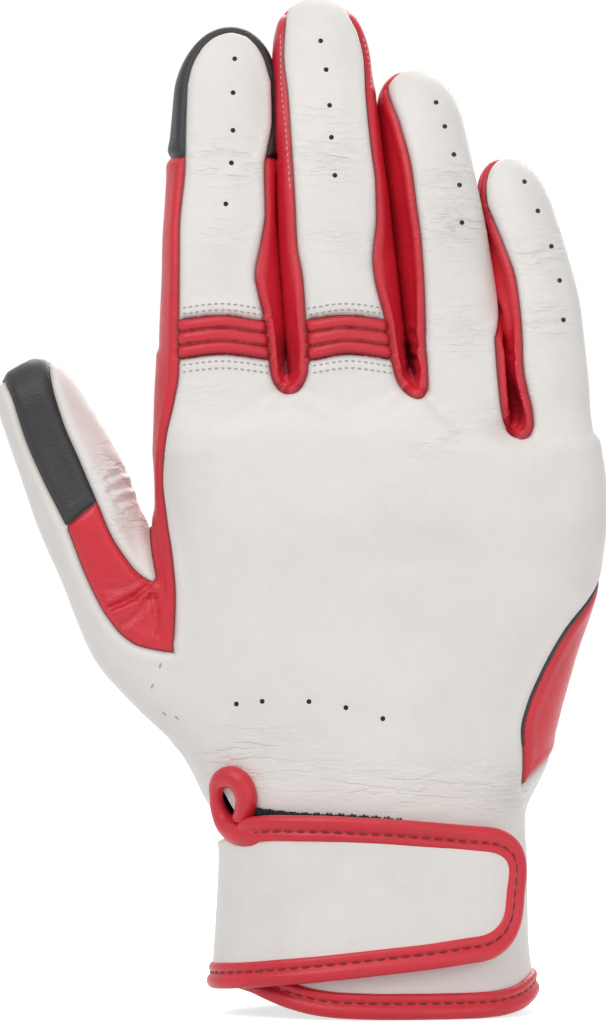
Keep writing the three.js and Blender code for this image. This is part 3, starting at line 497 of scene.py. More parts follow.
def surface_net(values, origin, cell):
    """Points and quads of the zero level of a grid of values."""
    within = values < 0
    shape = np.array(values.shape) - 1
    total = np.zeros((*shape, 3), np.float32)
    count = np.zeros(shape, np.uint8)
    for axis in range(3):
        first, second = [k for k in range(3) if k != axis]
        for corner in range(4):
            start = [0, 0, 0]
            start[first], start[second] = corner % 2, corner // 2
            stop = list(start)
            stop[axis] += 1
            low = tuple(slice(s, s + n) for s, n in zip(start, shape))
            high = tuple(slice(s, s + n) for s, n in zip(stop, shape))
            crossing = within[low] != within[high]
            a, b = values[low][crossing], values[high][crossing]
            place = np.tile(np.array(start, np.float32), (len(a), 1))
            place[:, axis] += a / (a - b)
            total[crossing] += place
            count[crossing] += 1
    used = count > 0
    number = np.full(shape, -1, np.int64)
    number[used] = np.arange(used.sum())
    points = np.argwhere(used) + total[used] / count[used][:, None]
    quads = []
    for axis in range(3):
        u, v = [k for k in range(3) if k != axis]
        low = [slice(1, n) for n in shape]
        low[axis] = slice(0, shape[axis])
        high = list(low)
        high[axis] = slice(1, shape[axis] + 1)
        a, b = within[tuple(low)], within[tuple(high)]
        for flip in (False, True):
            cells = np.argwhere((b & ~a) if flip else (a & ~b))
            cells[:, u] += 1
            cells[:, v] += 1
            corners = []
            for du, dv in ((0, 0), (-1, 0), (-1, -1), (0, -1)):
                corner = cells.copy()
                corner[:, u] += du
                corner[:, v] += dv
                corners.append(number[tuple(corner.T)])
            quad = np.array(corners).T
            quads.append(quad[:, ::-1] if flip ^ (axis == 1) else quad)
    return np.asarray(origin) + points * cell, np.concatenate(quads)


def mesh_skin():
    """Points, triangles and owners of the bare skin."""
    low, high = np.array(FIELD_BOX)
    axes = [np.arange(a, b, CELL) for a, b in zip(low, high)]
    values = np.empty([len(axis) for axis in axes], np.float32)
    flat = np.stack(np.meshgrid(axes[0], axes[1], indexing="ij"), -1).reshape(-1, 2)
    for k, z in enumerate(axes[2]):
        layer = np.column_stack([flat, np.full(len(flat), z)])
        values[:, :, k] = whole_field(layer).reshape(len(axes[0]), len(axes[1]))
    points, quads = surface_net(values, low, CELL)
    owner = owner_of(points, True)
    for i in range(THUMB):
        mine = owner == i
        points[mine, 0] -= spread_of(i, points[mine, 2])
    points = settle(points, owner)
    triangles = np.concatenate([quads[:, [0, 1, 2]], quads[:, [0, 2, 3]]])
    return points, triangles, owner


# Panels
def hem_level(side):
    """Height of the hem, which rises at both sides of the cuff."""
    return np.where(side < 0, on_curve(HEM_LEFT, -side), on_curve(HEM_RIGHT, side))


def finger_walls(p, owner, column, row, behind):
    """Distance behind the side seam, turned to each finger's own, and the red walls on back and palm."""
    z = p[:, 2]
    back_wall = np.zeros(len(p), bool)
    palm_wall = np.zeros(len(p), bool)
    for i, name in enumerate(FINGER_NAMES):
        mine = owner == i
        lx, ly, a, _, _ = finger_place(p, i)
        share = ease((z - (FINGERS[name]["knuckle"][2] - SEAM_TURN)) / SEAM_TURN)
        behind = np.where(mine, (1 - share) * behind + share * ly, behind)
        form = FINGER_FORMS[i]
        rise = np.clip((z - form["top"] + form["dome"]) / form["dome"], 0, DOME_END)
        outside = np.abs(lx) > WALL_SHARE * a * np.sqrt(1 - rise**2)
        if name == "little":
            outside &= lx < 0
        if name == "index":
            outside &= lx > 0
        beyond = FINGER_NAMES[min(i + 1, THUMB - 1)]
        foot_level = np.where(lx > 0, CROTCH_LEVEL[beyond], CROTCH_LEVEL[name])
        palm_wall |= mine & outside & (z > foot_level + WALL_FOOT)
        left, right = LEFT_SEAMS[i], RIGHT_SEAMS[i]
        if i > 0:
            back_wall |= mine & (row < left[-1][0]) & (column < on_curve(left, row))
        if right:
            wall = mine & (row < right[-1][0]) & (column > on_curve(right, row))
            if name == "ring":
                wall |= mine & (lx > WALL_SHARE * a) & (row < right[-1][0]) & (ly > -RING_RIM)
                wall &= ly > -RING_TAPER * (row - right[0][0])
            back_wall |= wall
    return behind, back_wall, palm_wall


def slit_walls(owner, column, row, back_wall, palm_wall):
    """The red walls again, closed round the foot of each slit between two fingers."""
    for k, slit in enumerate(SLITS):
        right, left = RIGHT_SEAMS[k], LEFT_SEAMS[k + 1]
        low = slit[-1][0]
        aside = column - on_curve(slit, row)
        foot = np.isin(owner, [k, k + 1]) & (np.abs(aside) < FOOT) & (row > low - FOOT)
        between = (column > on_curve(right, row)) & (column < on_curve(left, row)) & (row < right[-1][0])
        back_wall = np.where(foot, between, back_wall)
        drop = np.maximum(row - (low - PALM_WALL), 0)
        near = np.hypot(aside - PALM_SHIFT[k], drop) < PALM_WALL
        palm_wall = palm_wall | (near & (row > low - PALM_FOOT))
    return back_wall, palm_wall


def mark_thumb(panel, place, on_thumb, dorsal, column, row):
    """Marks the thumb's outer and inner side, the strip between them and the pad of its tip."""
    du, _, half, _, along = place
    left, right = on_curve(THUMB_LEFT, row), on_curve(THUMB_RIGHT, row)
    on_back, on_palm = on_thumb & dorsal, on_thumb & ~dorsal
    strip = on_back & (column > left) & (column < right)
    panel[on_back] = PANEL["thumb_outer"]
    panel[on_back & (column >= right)] = PANEL["thumb_inner"]
    panel[strip] = PANEL["red"]
    panel[strip & (row < on_curve(THUMB_TOUCH, column))] = PANEL["touch"]
    panel[on_palm] = np.where(du[on_palm] < 0, PANEL["thumb_outer"], PANEL["thumb_inner"])
    pad_length, pad_share = THUMB_PAD
    pad = on_palm & (along > THUMB_FORM["top"] - pad_length) & (np.abs(du) < pad_share * half)
    panel[pad] = PANEL["touch"]


def mark_wrist(panel, p, hand, dorsal):
    """Marks the cuff, and as open the wrist slit and what the hem binding covers."""
    x, _, z = p.T
    hand_x, _, half_width, _ = hand
    panel[z < WRIST] = PANEL["cuff"]
    slit_x = hand_x + SLIT_SIDE * half_width
    above = np.maximum(z - SLIT_TOP, 0) / SLIT_HEAD
    open_slit = (np.hypot((x - slit_x) / SLIT_HALF, above) < 1) & (z < SLIT_TOP + SLIT_HEAD)
    panel[dorsal & open_slit] = PANEL["none"]
    panel[z < hem_level((x - hand_x) / half_width) + 0.5 * HEM_BINDING] = PANEL["none"]


def panel_at(p, owner):
    """Panel that each point of the skin belongs to."""
    x, y, z = p.T
    column, row = column_of(x), row_of(z)
    hand = at_level(HAND_TABLES, z)
    place = thumb_place(p)
    on_thumb = (owner == THUMB) & (thumb_field(p) < hand_field(p))
    behind = y - (hand[1] + SIDE_SEAM)  # negative on the back of the glove
    behind, back_wall, palm_wall = finger_walls(p, owner, column, row, behind)
    back_wall, palm_wall = slit_walls(owner, column, row, back_wall, palm_wall)
    behind = np.where(on_thumb, place[1], behind)
    dorsal = behind < 0

    index, middle = owner == 0, owner == 1
    panel = np.where(dorsal, PANEL["back"], PANEL["palm"])
    for finger, name in ((index, "index"), (middle, "middle")):
        upper = finger & dorsal & (row < on_curve(STRETCH_BOTTOM, column))
        panel[upper] = PANEL[name + "_stretch"]
        panel[upper & (row < on_curve(STRETCH_TOP, column))] = PANEL[name + "_back"]
    arc = index & (row < INDEX_ARC[0][1]) & (row < on_curve(INDEX_ARC, column))
    panel[dorsal & (back_wall | arc)] = PANEL["red"]

    thumb_side = (index | (owner == THUMB)) & ~on_thumb
    above_root = row < INDEX_LEFT[-1][0]
    left_side = thumb_side & above_root & (column < on_curve(INDEX_LEFT, row))
    panel[dorsal & left_side] = PANEL["red"]
    panel[dorsal & left_side & (column < on_curve(THUMB_LEFT, row))] = PANEL["thumb_outer"]
    root = ~above_root & (row < ROOT_SEAM[-1][0]) & (column < on_curve(ROOT_SEAM, row))
    panel[dorsal & root] = PANEL["thumb_outer"]
    left_edge = thumb_side & (row < PALM_LEFT[-1][0]) & (column < on_curve(PALM_LEFT, row))
    panel[~dorsal & (palm_wall | left_edge)] = PANEL["red"]
    panel[index & (row < TOUCH_ROW) & np.isin(panel, [PANEL["red"], PANEL["palm"]])] = PANEL["touch"]
    mark_thumb(panel, place, on_thumb, dorsal, column, row)

    leaf = (-on_curve(LEAF_BACK, row) < behind) & (behind < on_curve(LEAF_PALM, row)) & (x > hand[0])
    panel[leaf & (row > LEAF_BACK[0][0]) & (row < LEAF_BACK[-1][0])] = PANEL["ulnar"]
    mark_wrist(panel, p, hand, dorsal)
    return panel


def segment_at(p, owner):
    """0 on the hand, then 1 + 2i and 2 + 2i on the lower and upper part of finger i."""
    segment = np.zeros(len(p), int)
    for i, name in enumerate([*FINGER_NAMES, "thumb"]):
        (start, end), (start_high, _) = BENDS[name]
        if i == THUMB:
            hinge, axis = THUMB_HINGE, THUMB_AXIS
            mine = (owner == THUMB) & (thumb_field(p) < hand_field(p))
        else:
            hinge, _, axis, _ = FINGER_PATHS[i]
            mine = owner == i
        place = (p - hinge) @ axis
        segment[mine & (place > start)] = 1 + 2 * i
        segment[mine & (place > (end + start_high) / 2)] = 2 + 2 * i
    return segment


def edges_of(triangles):
    """Edges without repeats, and for each triangle the numbers of its three sides."""
    pairs = np.concatenate([triangles[:, pair] for pair in ([0, 1], [1, 2], [2, 0])])
    edges, sides = np.unique(np.sort(pairs, axis=1), axis=0, return_inverse=True)
    return edges, sides.reshape(3, -1).T


def split(triangles, sides, middle):
    """Triangles cut at the points of their sides; middle is a point's number for each edge, or -1."""
    cuts = middle[sides]
    count = (cuts >= 0).sum(1)
    made, parent = [triangles[count == 0]], [np.flatnonzero(count == 0)]
    for number in (1, 2, 3):
        for turn in range(3):
            order = [(k + turn) % 3 for k in range(3)]
            pattern = cuts[:, order] >= 0
            if number == 1:
                chosen = (count == 1) & pattern[:, 0]
            elif number == 2:
                chosen = (count == 2) & ~pattern[:, 2]
            else:
                chosen = (count == 3) & (turn == 0)
            a, b, c = triangles[chosen][:, order].T
            m, n, o = cuts[chosen][:, order].T
            pieces = {
                1: [(a, m, c), (m, b, c)],
                2: [(m, b, n), (a, m, n), (a, n, c)],
                3: [(a, m, o), (m, b, n), (o, n, c), (m, n, o)],
            }[number]
            for piece in pieces:
                made.append(np.array(piece).T)
                parent.append(np.flatnonzero(chosen))
    return np.concatenate(made), np.concatenate(parent)


SNAP = 0.22  # a point closer to a seam than this share of an edge moves onto it
HALVINGS = 12  # steps that find the place where an edge crosses a seam


def shared_owner(points, owner, edges):
    """Owner of points on edges: that of both ends, or the nearest finger where they differ."""
    a, b = owner[edges[:, 0]], owner[edges[:, 1]]
    result = a.copy()
    mixed = a != b
    if mixed.any():
        result[mixed] = owner_of(points[mixed])
    return result


def crossings(points, owner, label, label_at, edges):
    """Share along each edge at which it leaves the label of its first end, and that place."""
    a, b = points[edges[:, 0]], points[edges[:, 1]]
    low, high = np.zeros(len(edges)), np.ones(len(edges))
    for _ in range(HALVINGS):
        share = (low + high) / 2
        middle = a + share[:, None] * (b - a)
        same = label_at(middle, shared_owner(middle, owner, edges)) == label[edges[:, 0]]
        low, high = np.where(same, share, low), np.where(same, high, share)
    share = (low + high) / 2
    return share, a + share[:, None] * (b - a)


def cut(points, triangles, owner, label_at, fixed=None):
    """The skin cut where the label changes. Fixed points aren't moved onto the cut."""
    label = label_at(points, owner)
    edges, sides = edges_of(triangles)
    crossed = edges[label[edges[:, 0]] != label[edges[:, 1]]]
    share, place = crossings(points, owner, label, label_at, crossed)
    best = np.full(len(points), SNAP)
    if fixed is not None:
        best[fixed] = 0
    moved = np.zeros(len(points), bool)
    points = points.copy()
    for end, nearness in ((0, share), (1, 1 - share)):
        for e in np.flatnonzero(nearness < SNAP):
            vertex = crossed[e, end]
            if nearness[e] < best[vertex]:
                best[vertex] = nearness[e]
                points[vertex] = place[e]
                moved[vertex] = True
    label[moved] = -1
    ends = label[edges]
    parted = (ends[:, 0] >= 0) & (ends[:, 1] >= 0) & (ends[:, 0] != ends[:, 1])
    _, fresh = crossings(points, owner, label, label_at, edges[parted])
    middle = np.full(len(edges), -1)
    middle[parted] = len(points) + np.arange(parted.sum())
    triangles, parent = split(triangles, sides, middle)
    owner = np.concatenate([owner, shared_owner(fresh, owner, edges[parted])])
    points = np.concatenate([points, fresh])
    label = np.concatenate([label, np.full(len(fresh), -1)])
    result = label[triangles].max(1)
    lost = result < 0
    if lost.any():
        centre = points[triangles[lost]].mean(1)
        result[lost] = label_at(centre, owner[triangles[lost][:, 0]])
    return points, triangles, owner, result, parent


def cut_panels(points, triangles, owner):
    """The skin cut along every seam and then at every bend, with a code for each triangle."""
    points, triangles, owner, panel, _ = cut(points, triangles, owner, panel_at)
    kept = panel != PANEL["none"]
    triangles = triangles[kept]
    panel = merge_islands(triangles, panel[kept])
    fixed = seam_points(points, triangles, panel)
    points, triangles, owner, segment, parent = cut(points, triangles, owner, segment_at, fixed)
    return points, triangles, owner, panel[parent] * SEGMENTS + segment


ISLAND = 40  # fewest triangles of a patch of leather


def merge_islands(triangles, label):
    """Labels with every small island given to the label round it."""
    _, sides = edges_of(triangles)
    order = np.argsort(sides.ravel(), kind="stable")
    edge, face = sides.ravel()[order], order // 3
    twin = np.flatnonzero(edge[:-1] == edge[1:])
    a, b = face[twin], face[twin + 1]
    same = label[a] == label[b]
    group = np.arange(len(triangles))
    while True:
        low, high = np.sort([group[a[same]], group[b[same]]], axis=0)
        if (low == high).all():
            break
        np.minimum.at(group, high, low)
        while (group != group[group]).any():
            group = group[group]
    small = (np.bincount(group, minlength=len(group)) < ISLAND)[group]
    borders = []
    for here, there in ((a, b), (b, a)):
        shore = ~same & small[here] & ~small[there]
        borders.append(np.column_stack([group[here], label[there]])[shore])
    kinds, count = np.unique(np.concatenate(borders), axis=0, return_counts=True)
    label = label.copy()
    for number, kind in kinds[np.argsort(count)]:
        label[group == number] = kind
    return label


def sewn(panel):
    """Panels with a groove between them: the thumb root and the cuff run into the back without one."""
    return np.where(np.isin(panel, [PANEL["thumb_outer"], PANEL["cuff"]]), PANEL["back"], panel)


def seam_points(points, triangles, panel):
    """Numbers of the points where two panels meet."""
    lowest = np.full(len(points), len(PANELS))
    highest = np.full(len(points), -1)
    for k in range(3):
        np.minimum.at(lowest, triangles[:, k], panel)
        np.maximum.at(highest, triangles[:, k], panel)
    return np.flatnonzero(highest > lowest)


def distances(points, marks):
    """Distance of each point to the nearest mark."""
    tree = KDTree(len(marks))
    for i, mark in enumerate(marks):
        tree.insert(mark, i)
    tree.balance()
    return np.array([tree.find(point)[2] for point in points])


def refine(points, triangles, owner, code, reach, longest):
    """Halves the long edges beside the seams and on the pleats."""
    panel = code // SEGMENTS
    marks = points[seam_points(points, triangles, sewn(panel))]
    edges, sides = edges_of(triangles)
    span = points[edges[:, 1]] - points[edges[:, 0]]
    centre = points[edges[:, 0]] + span / 2
    long = np.linalg.norm(span, axis=1) > longest
    near = np.zeros(len(edges), bool)
    near[long] = distances(centre[long], marks) < reach
    for line, _, half_width in GROOVES:
        beside = off_line(line, column_of(centre[:, 0]), row_of(centre[:, 2])) < reach + half_width
        near |= beside & (centre[:, 1] < GROOVE_BACK)
    pleats = np.isin(panel, [PANEL["index_stretch"], PANEL["middle_stretch"]])
    pleated = np.zeros(len(edges), bool)
    pleated[sides[pleats].ravel()] = True
    halved = long & (near | pleated)
    middle = np.full(len(edges), -1)
    middle[halved] = len(points) + np.arange(halved.sum())
    fresh_owner = shared_owner(centre[halved], owner, edges[halved])
    triangles, parent = split(triangles, sides, middle)
    points = np.concatenate([points, centre[halved]])
    return points, triangles, np.concatenate([owner, fresh_owner]), code[parent]


# Relief of the skin
PLEAT_HEIGHT = 1.25
PLEATS = 3
PLEAT_LINE = 0.3  # half width of the painted shade line in the valley between two pleats
WALL_HOLLOW = 0.8
RING_FADE = (270, 350)  # rows over which the seam of its outer wall sinks in
RING_MIDDLE = 460  # column that parts the two walls of the ring finger
CROTCH_DEPTH = (2.4, 2.4, 1.1)  # for each slit
CROTCH_RIM = 0.8  # rolled edge of the red leather round the foot of a slit
CROTCH_LINE = 3.2  # half width of the painted shade line between two fingers, in pixels
WEB_REACH = 24  # pixels round the foot of a slit where the skin is evened out
WEB_MARGIN = 1.1
WEB_ROUNDS = 25
WEB_PULL = 0.6  # share of the way to the middle of its neighbours that a point moves in a round
CREASE_GAIN = 1.1
CREASE_LINES = 1.7
CREASE_LEVEL = 0.62  # mean height of a fold
CREASE_CLEAR = 2.5  # distance from a seam within which folds fade
CREASE_WAVES = [(0.34, 6.1), (0.2, 2.7), (0.3, 5)]  # wander of a fold: gain and length
PAD_SWELL = 1.0
PAD_SPAN = (120.0, 152.0)
PAD_EDGES = (10, 14, 10)  # how far below its span the pad begins, and its soft edges below and above
PAD_CLEAR = 9
SWELL = (0.22, 0.1)  # slow and quick unevenness
SWELL_SLOW = ((11, 1.3), (13, 0.4))  # length and phase of its waves across and up
SWELL_QUICK = (5.1, 7.3, 2, 6.7, 5.3)  # lengths across and up and phase of one wave, lengths of the other
SWELL_CLEAR = 6
SEAM_LINE = 0.45  # half width of the painted shade line in a seam groove
PUFF = (2.3, 1.5)  # distance of the puffed leather from the seam, and its half width
PLEAT_POWER = 0.55
PLEAT_SINK = 0.35
HOLLOW_EDGE = (1.2, 3.0)  # distance from its seams where a wall turns hollow, and over which
# Painted shade line and sinking of a slit: the rows above its foot where they begin, the rows of that fade,
# and both at its end
CROTCH_SPAN = (70, 25, 8, 12)
RIM_PLACE = (1.4, 0.8)  # distance of the rolled edge from its seam, and its half width
RIM_ROWS = (130, 60)  # rows above the foot of a slit where the rolled edge begins, and over which
# How far the skin must face the back: the limit and the span over which it counts
BACK_FACING = (0.15, 0.5)
SLIT_FACING = (-0.3, 0.4)
RIM_FACING = (0.2, 0.4)
# Creases seen from the back: column, row, half length and half height in pixels, turn, spacing and depth
CREASES = [
    (228, 158, 42, 26, 4, 2.9, 0.30),
    (226, 230, 40, 16, -3, 3.3, 0.16),
    (330, 108, 34, 14, 6, 2.6, 0.20),
    (335, 155, 38, 26, 3, 2.8, 0.30),
    (345, 240, 36, 18, 8, 3.4, 0.16),
    (448, 170, 32, 14, -12, 2.6, 0.24),
    (456, 220, 36, 34, -10, 3.0, 0.34),
    (465, 330, 30, 30, -20, 4.2, 0.22),
    (543, 250, 28, 24, -16, 2.7, 0.30),
    (550, 320, 26, 24, -14, 3.2, 0.26),
    (112, 468, 24, 20, 34, 2.6, 0.40),
    (125, 520, 20, 24, 40, 3.0, 0.30),
    (140, 600, 26, 30, 60, 4.4, 0.22),
    (300, 775, 150, 22, 4, 5.6, 0.12),
    (450, 785, 90, 22, -6, 5.2, 0.14),
    (245, 745, 60, 22, -12, 5.4, 0.16),
    (520, 800, 30, 22, -10, 3.4, 0.24),
    (210, 400, 40, 20, 30, 4.5, 0.16),
    (460, 430, 60, 24, -24, 5.0, 0.18),
    (414, 352, 9, 26, 30, 3.2, 0.20),
    (521, 395, 9, 26, 34, 3.2, 0.20),
]
GROOVE_BACK = 6.0  # folds lie before this depth
GROOVE_POINTS = 12  # along a fold
GROOVE_RIDGE = (0.5, 1.8)  # height of the ridge beside a fold as a share of its depth, and its place
# Single deep folds: their line as (column, row), and the depth and half width in millimetres
GROOVES = [
    ([(108, 609), (126, 601), (146, 587)], 0.75, 0.85),
    ([(104, 590), (122, 588), (140, 582)], 0.3, 0.9),
    ([(122, 626), (137, 614), (150, 596)], 0.45, 0.9),
    ([(148, 646), (154, 622), (153, 598)], 0.35, 0.9),
    ([(410, 331), (416, 336), (421, 344)], 0.35, 0.9),
    ([(411, 356), (417, 360), (423, 367)], 0.35, 0.8),
    ([(509, 352), (515, 354), (520, 358)], 0.25, 0.8),
    ([(106, 478), (116, 473), (126, 471)], 0.35, 0.8),
    ([(108, 490), (120, 486), (132, 487)], 0.45, 0.9),
    ([(116, 503), (128, 498), (140, 502)], 0.3, 0.9),
]
VENTS = {  # holes as (column, row), for each finger and the wrist
    "index": [(233.5, 50.5), (232, 86), (232, 125), (230.5, 158.5), (225, 200.5)],
    "middle": [(321, 32.5), (326.5, 62.5), (330, 99.5), (331.8, 132.5), (335.3, 171.5)],
    "ring": [(438.5, 95), (447.2, 120), (456.3, 149), (461.7, 180.5), (463.9, 219)],
    "little": [(528.5, 175.7), (541.7, 206), (555, 242.4), (563, 277.4), (566.5, 317.6)],
    "hand": [(236, 705), (262, 702), (309, 702), (346, 708), (383, 719)],
}
VENT_RADIUS = 0.62
VENT_DIMPLE = 0.3
VENT_REACH = 1.1


def crease_relief(column, row):
    """Height of the folds, fading out round each place, and how creased the leather is there."""
    total = np.zeros(len(column))
    creased = np.zeros(len(column))
    for c, r, half_length, half_height, turn, spacing, depth in CREASES:
        turn = math.radians(turn)
        u = (column - c) * math.cos(turn) + (row - r) * math.sin(turn)
        v = (row - r) * math.cos(turn) - (column - c) * math.sin(turn)
        window = np.exp(-((u / half_length) ** 2) - (v / half_height) ** 2)
        bend = 0
        for (gain, length), at, phase in zip(CREASE_WAVES, (u, u, v), (c, r, c)):
            bend = bend + gain * np.sin(at * PIXEL / length + phase)
        wave = np.abs(np.sin(math.pi * (v * PIXEL / spacing + bend)))
        total += CREASE_GAIN * depth * window * (wave - CREASE_LEVEL)
        creased += CREASE_LINES * depth * window
    return total, np.minimum(creased, 1)


def off_line(line, column, row):
    """Distance in millimetres of pixels from a line of pixels."""
    gap = np.full(len(column), np.inf)
    path = smooth_path(line, GROOVE_POINTS)
    for (c0, r0), (c1, r1) in zip(path[:-1], path[1:]):
        run = (c1 - c0) ** 2 + (r1 - r0) ** 2
        share = np.clip(((column - c0) * (c1 - c0) + (row - r0) * (r1 - r0)) / run, 0, 1)
        gap = np.minimum(gap, np.hypot(column - c0 - share * (c1 - c0), row - r0 - share * (r1 - r0)))
    return gap * PIXEL


def groove_relief(column, row):
    """Depth of the single folds, with a soft ridge on both sides."""
    total = np.zeros(len(column))
    ridge, ridge_at = GROOVE_RIDGE
    for line, depth, half_width in GROOVES:
        gap = off_line(line, column, row) / half_width
        total += depth * (ridge * np.exp(-((gap - ridge_at) ** 2)) - np.exp(-(gap**2)))
    return total


def swell(x, z):
    """Slow unevenness of worn leather."""
    (across, across_phase), (up, up_phase) = SWELL_SLOW
    slow = np.sin(x / across + across_phase) * np.sin(z / up + up_phase)
    across, up, phase, other_across, other_up = SWELL_QUICK
    quick = np.sin(x / across + z / up + phase) * np.sin(x / other_across - z / other_up)
    return SWELL[0] * slow + SWELL[1] * quick


def facing(normal, limit, span):
    """1 where the skin faces the back of the glove, falling off within a span."""
    return ease((limit - normal[:, 1]) / span)


def even_out(points, triangles, chosen):
    """Moves chosen points towards the middle of their neighbours."""
    edges, _ = edges_of(triangles)
    ends = np.concatenate([edges, edges[:, ::-1]])
    ends = ends[np.isin(ends[:, 0], chosen)]
    count = np.maximum(np.bincount(ends[:, 0], minlength=len(points)), 1)[:, None]
    for _ in range(WEB_ROUNDS):
        total = np.zeros_like(points)
        np.add.at(total, ends[:, 0], points[ends[:, 1]])
        points[chosen] = (1 - WEB_PULL) * points[chosen] + WEB_PULL * (total / count)[chosen]


def add_pleats(height, seam, panel_of, column, row):
    """Adds the pleats of the two stretch panels, with painted shade in their valleys."""
    mine = np.isin(panel_of, [PANEL["index_stretch"], PANEL["middle_stretch"]])
    top, bottom = on_curve(STRETCH_TOP, column), on_curve(STRETCH_BOTTOM, column)
    share = np.clip((row - top) / (bottom - top), 0, 1)
    pleats = PLEAT_HEIGHT * np.abs(np.sin(PLEATS * math.pi * share)) ** PLEAT_POWER
    height[mine] += pleats[mine] - PLEAT_SINK
    # Painted shade in the valleys between the pleats
    valley = np.abs(PLEATS * share - np.round(PLEATS * share)) * (bottom - top) * PIXEL / PLEATS
    seam[mine] = np.maximum(seam, np.exp(-((valley / PLEAT_LINE) ** 2)))[mine]


def sink_slits(height, seam, red, normal, column, row):
    """Sinks the red walls along the slits between the fingers and paints shade on them there."""
    begin, begin_fade, end, end_fade = CROTCH_SPAN
    in_slit = facing(normal, *SLIT_FACING)
    for slit, depth in zip(SLITS, CROTCH_DEPTH):
        low = slit[-1][0]
        beside = (column - on_curve(slit, row)) / CROTCH_LINE
        recess = ease((row - low + begin) / begin_fade) * ease((low - end - row) / end_fade)
        height[red] -= (depth * np.exp(-((0.5 * beside) ** 2)) * recess * in_slit)[red]
        # Painted shade in the recess between two fingers
        seam[red] = np.maximum(seam, np.exp(-(beside**2)) * recess)[red]


def slit_feet(column, row):
    """The webs at the feet of the slits, and how much each point counts as the rim of one."""
    webs = np.zeros(len(column), bool)
    rim = np.zeros(len(column))
    for slit in SLITS:
        low = slit[-1][0]
        beside = np.abs(column - on_curve(slit, row))
        webs |= (beside < WEB_REACH) & (row > low - WEB_REACH)
        rim = np.maximum(rim, (beside < FOOT) * ease((row - low + RIM_ROWS[0]) / RIM_ROWS[1]))
    return webs, rim


def relief(points, triangles, owner, code):
    """The finished skin: seams pressed in, pleats, folds, and the painted shade of each point, strongest
    close to a seam, in the pleats' valleys and in the slits.
    """
    panel_of = np.zeros(len(points), int)
    panel = code // SEGMENTS
    for k in range(3):
        panel_of[triangles[:, k]] = panel
    seams = seam_points(points, triangles, sewn(panel))
    off = distances(points, points[seams])
    normal = gradient(points, owner)
    normal /= np.linalg.norm(normal, axis=1)[:, None]
    x, _, z = points.T
    column, row = column_of(x), row_of(z)
    dorsal = facing(normal, *BACK_FACING)
    ring, little = FINGER_NAMES.index("ring"), FINGER_NAMES.index("little")
    outer_ring = (owner == ring) & (column > RING_MIDDLE)
    pressed = np.where(outer_ring, ease((row - RING_FADE[0]) / (RING_FADE[1] - RING_FADE[0])), 1)
    # Painted shade in the seam grooves, where the seam is pressed in
    seam = pressed * np.exp(-((off / SEAM_LINE) ** 2))
    puff = SEAM_PUFF * np.exp(-(((off - PUFF[0]) / PUFF[1]) ** 2))
    height = puff - SEAM_DEPTH * np.exp(-((off / SEAM_WIDTH) ** 2))
    height *= pressed
    height += swell(x, z) * ease(off / SWELL_CLEAR)
    folds, creased = crease_relief(column, row)
    height += folds * dorsal * ease(off / CREASE_CLEAR)
    creased = creased * dorsal
    below, low_edge, high_edge = PAD_EDGES
    span = ease((z - PAD_SPAN[0] + below) / low_edge) * ease((PAD_SPAN[1] - z) / high_edge)
    height += np.where(panel_of == PANEL["back"], PAD_SWELL * span * dorsal * ease(off / PAD_CLEAR), 0)
    add_pleats(height, seam, panel_of, column, row)
    red = panel_of == PANEL["red"]
    hollow = red & ((owner == little) | ((owner == ring) & (column < RING_MIDDLE)))
    height[hollow] -= (WALL_HOLLOW * ease((off - HOLLOW_EDGE[0]) / HOLLOW_EDGE[1]) * dorsal)[hollow]
    sink_slits(height, seam, red, normal, column, row)
    for holes in VENTS.values():
        for c, r in holes:
            gap = np.hypot(column - c, row - r) * PIXEL
            height -= VENT_DIMPLE * np.exp(-((gap / VENT_REACH) ** 2)) * dorsal
    points = points + height[:, None] * normal
    webs, rim = slit_feet(column, row)
    even_out(points, triangles, np.flatnonzero(red & webs & (off > WEB_MARGIN)))
    on_rim = facing(normal, *RIM_FACING)
    rim *= CROTCH_RIM * np.exp(-(((off - RIM_PLACE[0]) / RIM_PLACE[1]) ** 2)) * on_rim * red
    rim += groove_relief(column, row) * on_rim
    return points + rim[:, None] * normal, seam, creased


def panel_normals(points, triangles, panel):
    """Normal of each corner, smooth inside a panel and creased at its seams."""
    a, b, c = points[triangles].transpose(1, 0, 2)
    flat = np.cross(b - a, c - a)
    result = np.empty((len(triangles), 3, 3))
    for number in np.unique(panel):
        mine = panel == number
        total = np.zeros((len(points), 3))
        for k in range(3):
            np.add.at(total, triangles[mine][:, k], flat[mine])
        total /= np.maximum(np.linalg.norm(total, axis=1), 1e-12)[:, None]
        result[mine] = total[triangles[mine]]
    return result


# Materials
def linear(red, green, blue):
    """Linear colour of an sRGB one given in 0 to 255."""
    values = []
    for value in (red, green, blue):
        value /= 255
        values.append(value / 12.92 if value <= 0.04045 else ((value + 0.055) / 1.055) ** 2.4)
    return (*values, 1.0)


def new_material(name):
    material = bpy.data.materials.new(name)
    material.use_nodes = True
    tree = material.node_tree
    return material, tree, tree.nodes["Principled BSDF"]


def add_node(tree, kind, **values):
    node = tree.nodes.new(kind)
    for key, value in values.items():
        if key in node.inputs:
            node.inputs[key].default_value = value
        else:
            setattr(node, key, value)
    return node


def noise(tree, place, scale, detail, roughness):
    node = add_node(tree, "ShaderNodeTexNoise", Scale=scale, Detail=detail, Roughness=roughness)
    tree.links.new(place, node.inputs["Vector"])
    return node.outputs["Fac"]


def ramp(tree, value, stops):
    """Colour ramp through (position, colour)."""
    node = tree.nodes.new("ShaderNodeValToRGB")
    while len(node.color_ramp.elements) < len(stops):
        node.color_ramp.elements.new(0.5)
    for element, (position, colour) in zip(node.color_ramp.elements, stops):
        element.position = position
        element.color = colour
    tree.links.new(value, node.inputs["Fac"])
    return node.outputs["Color"]


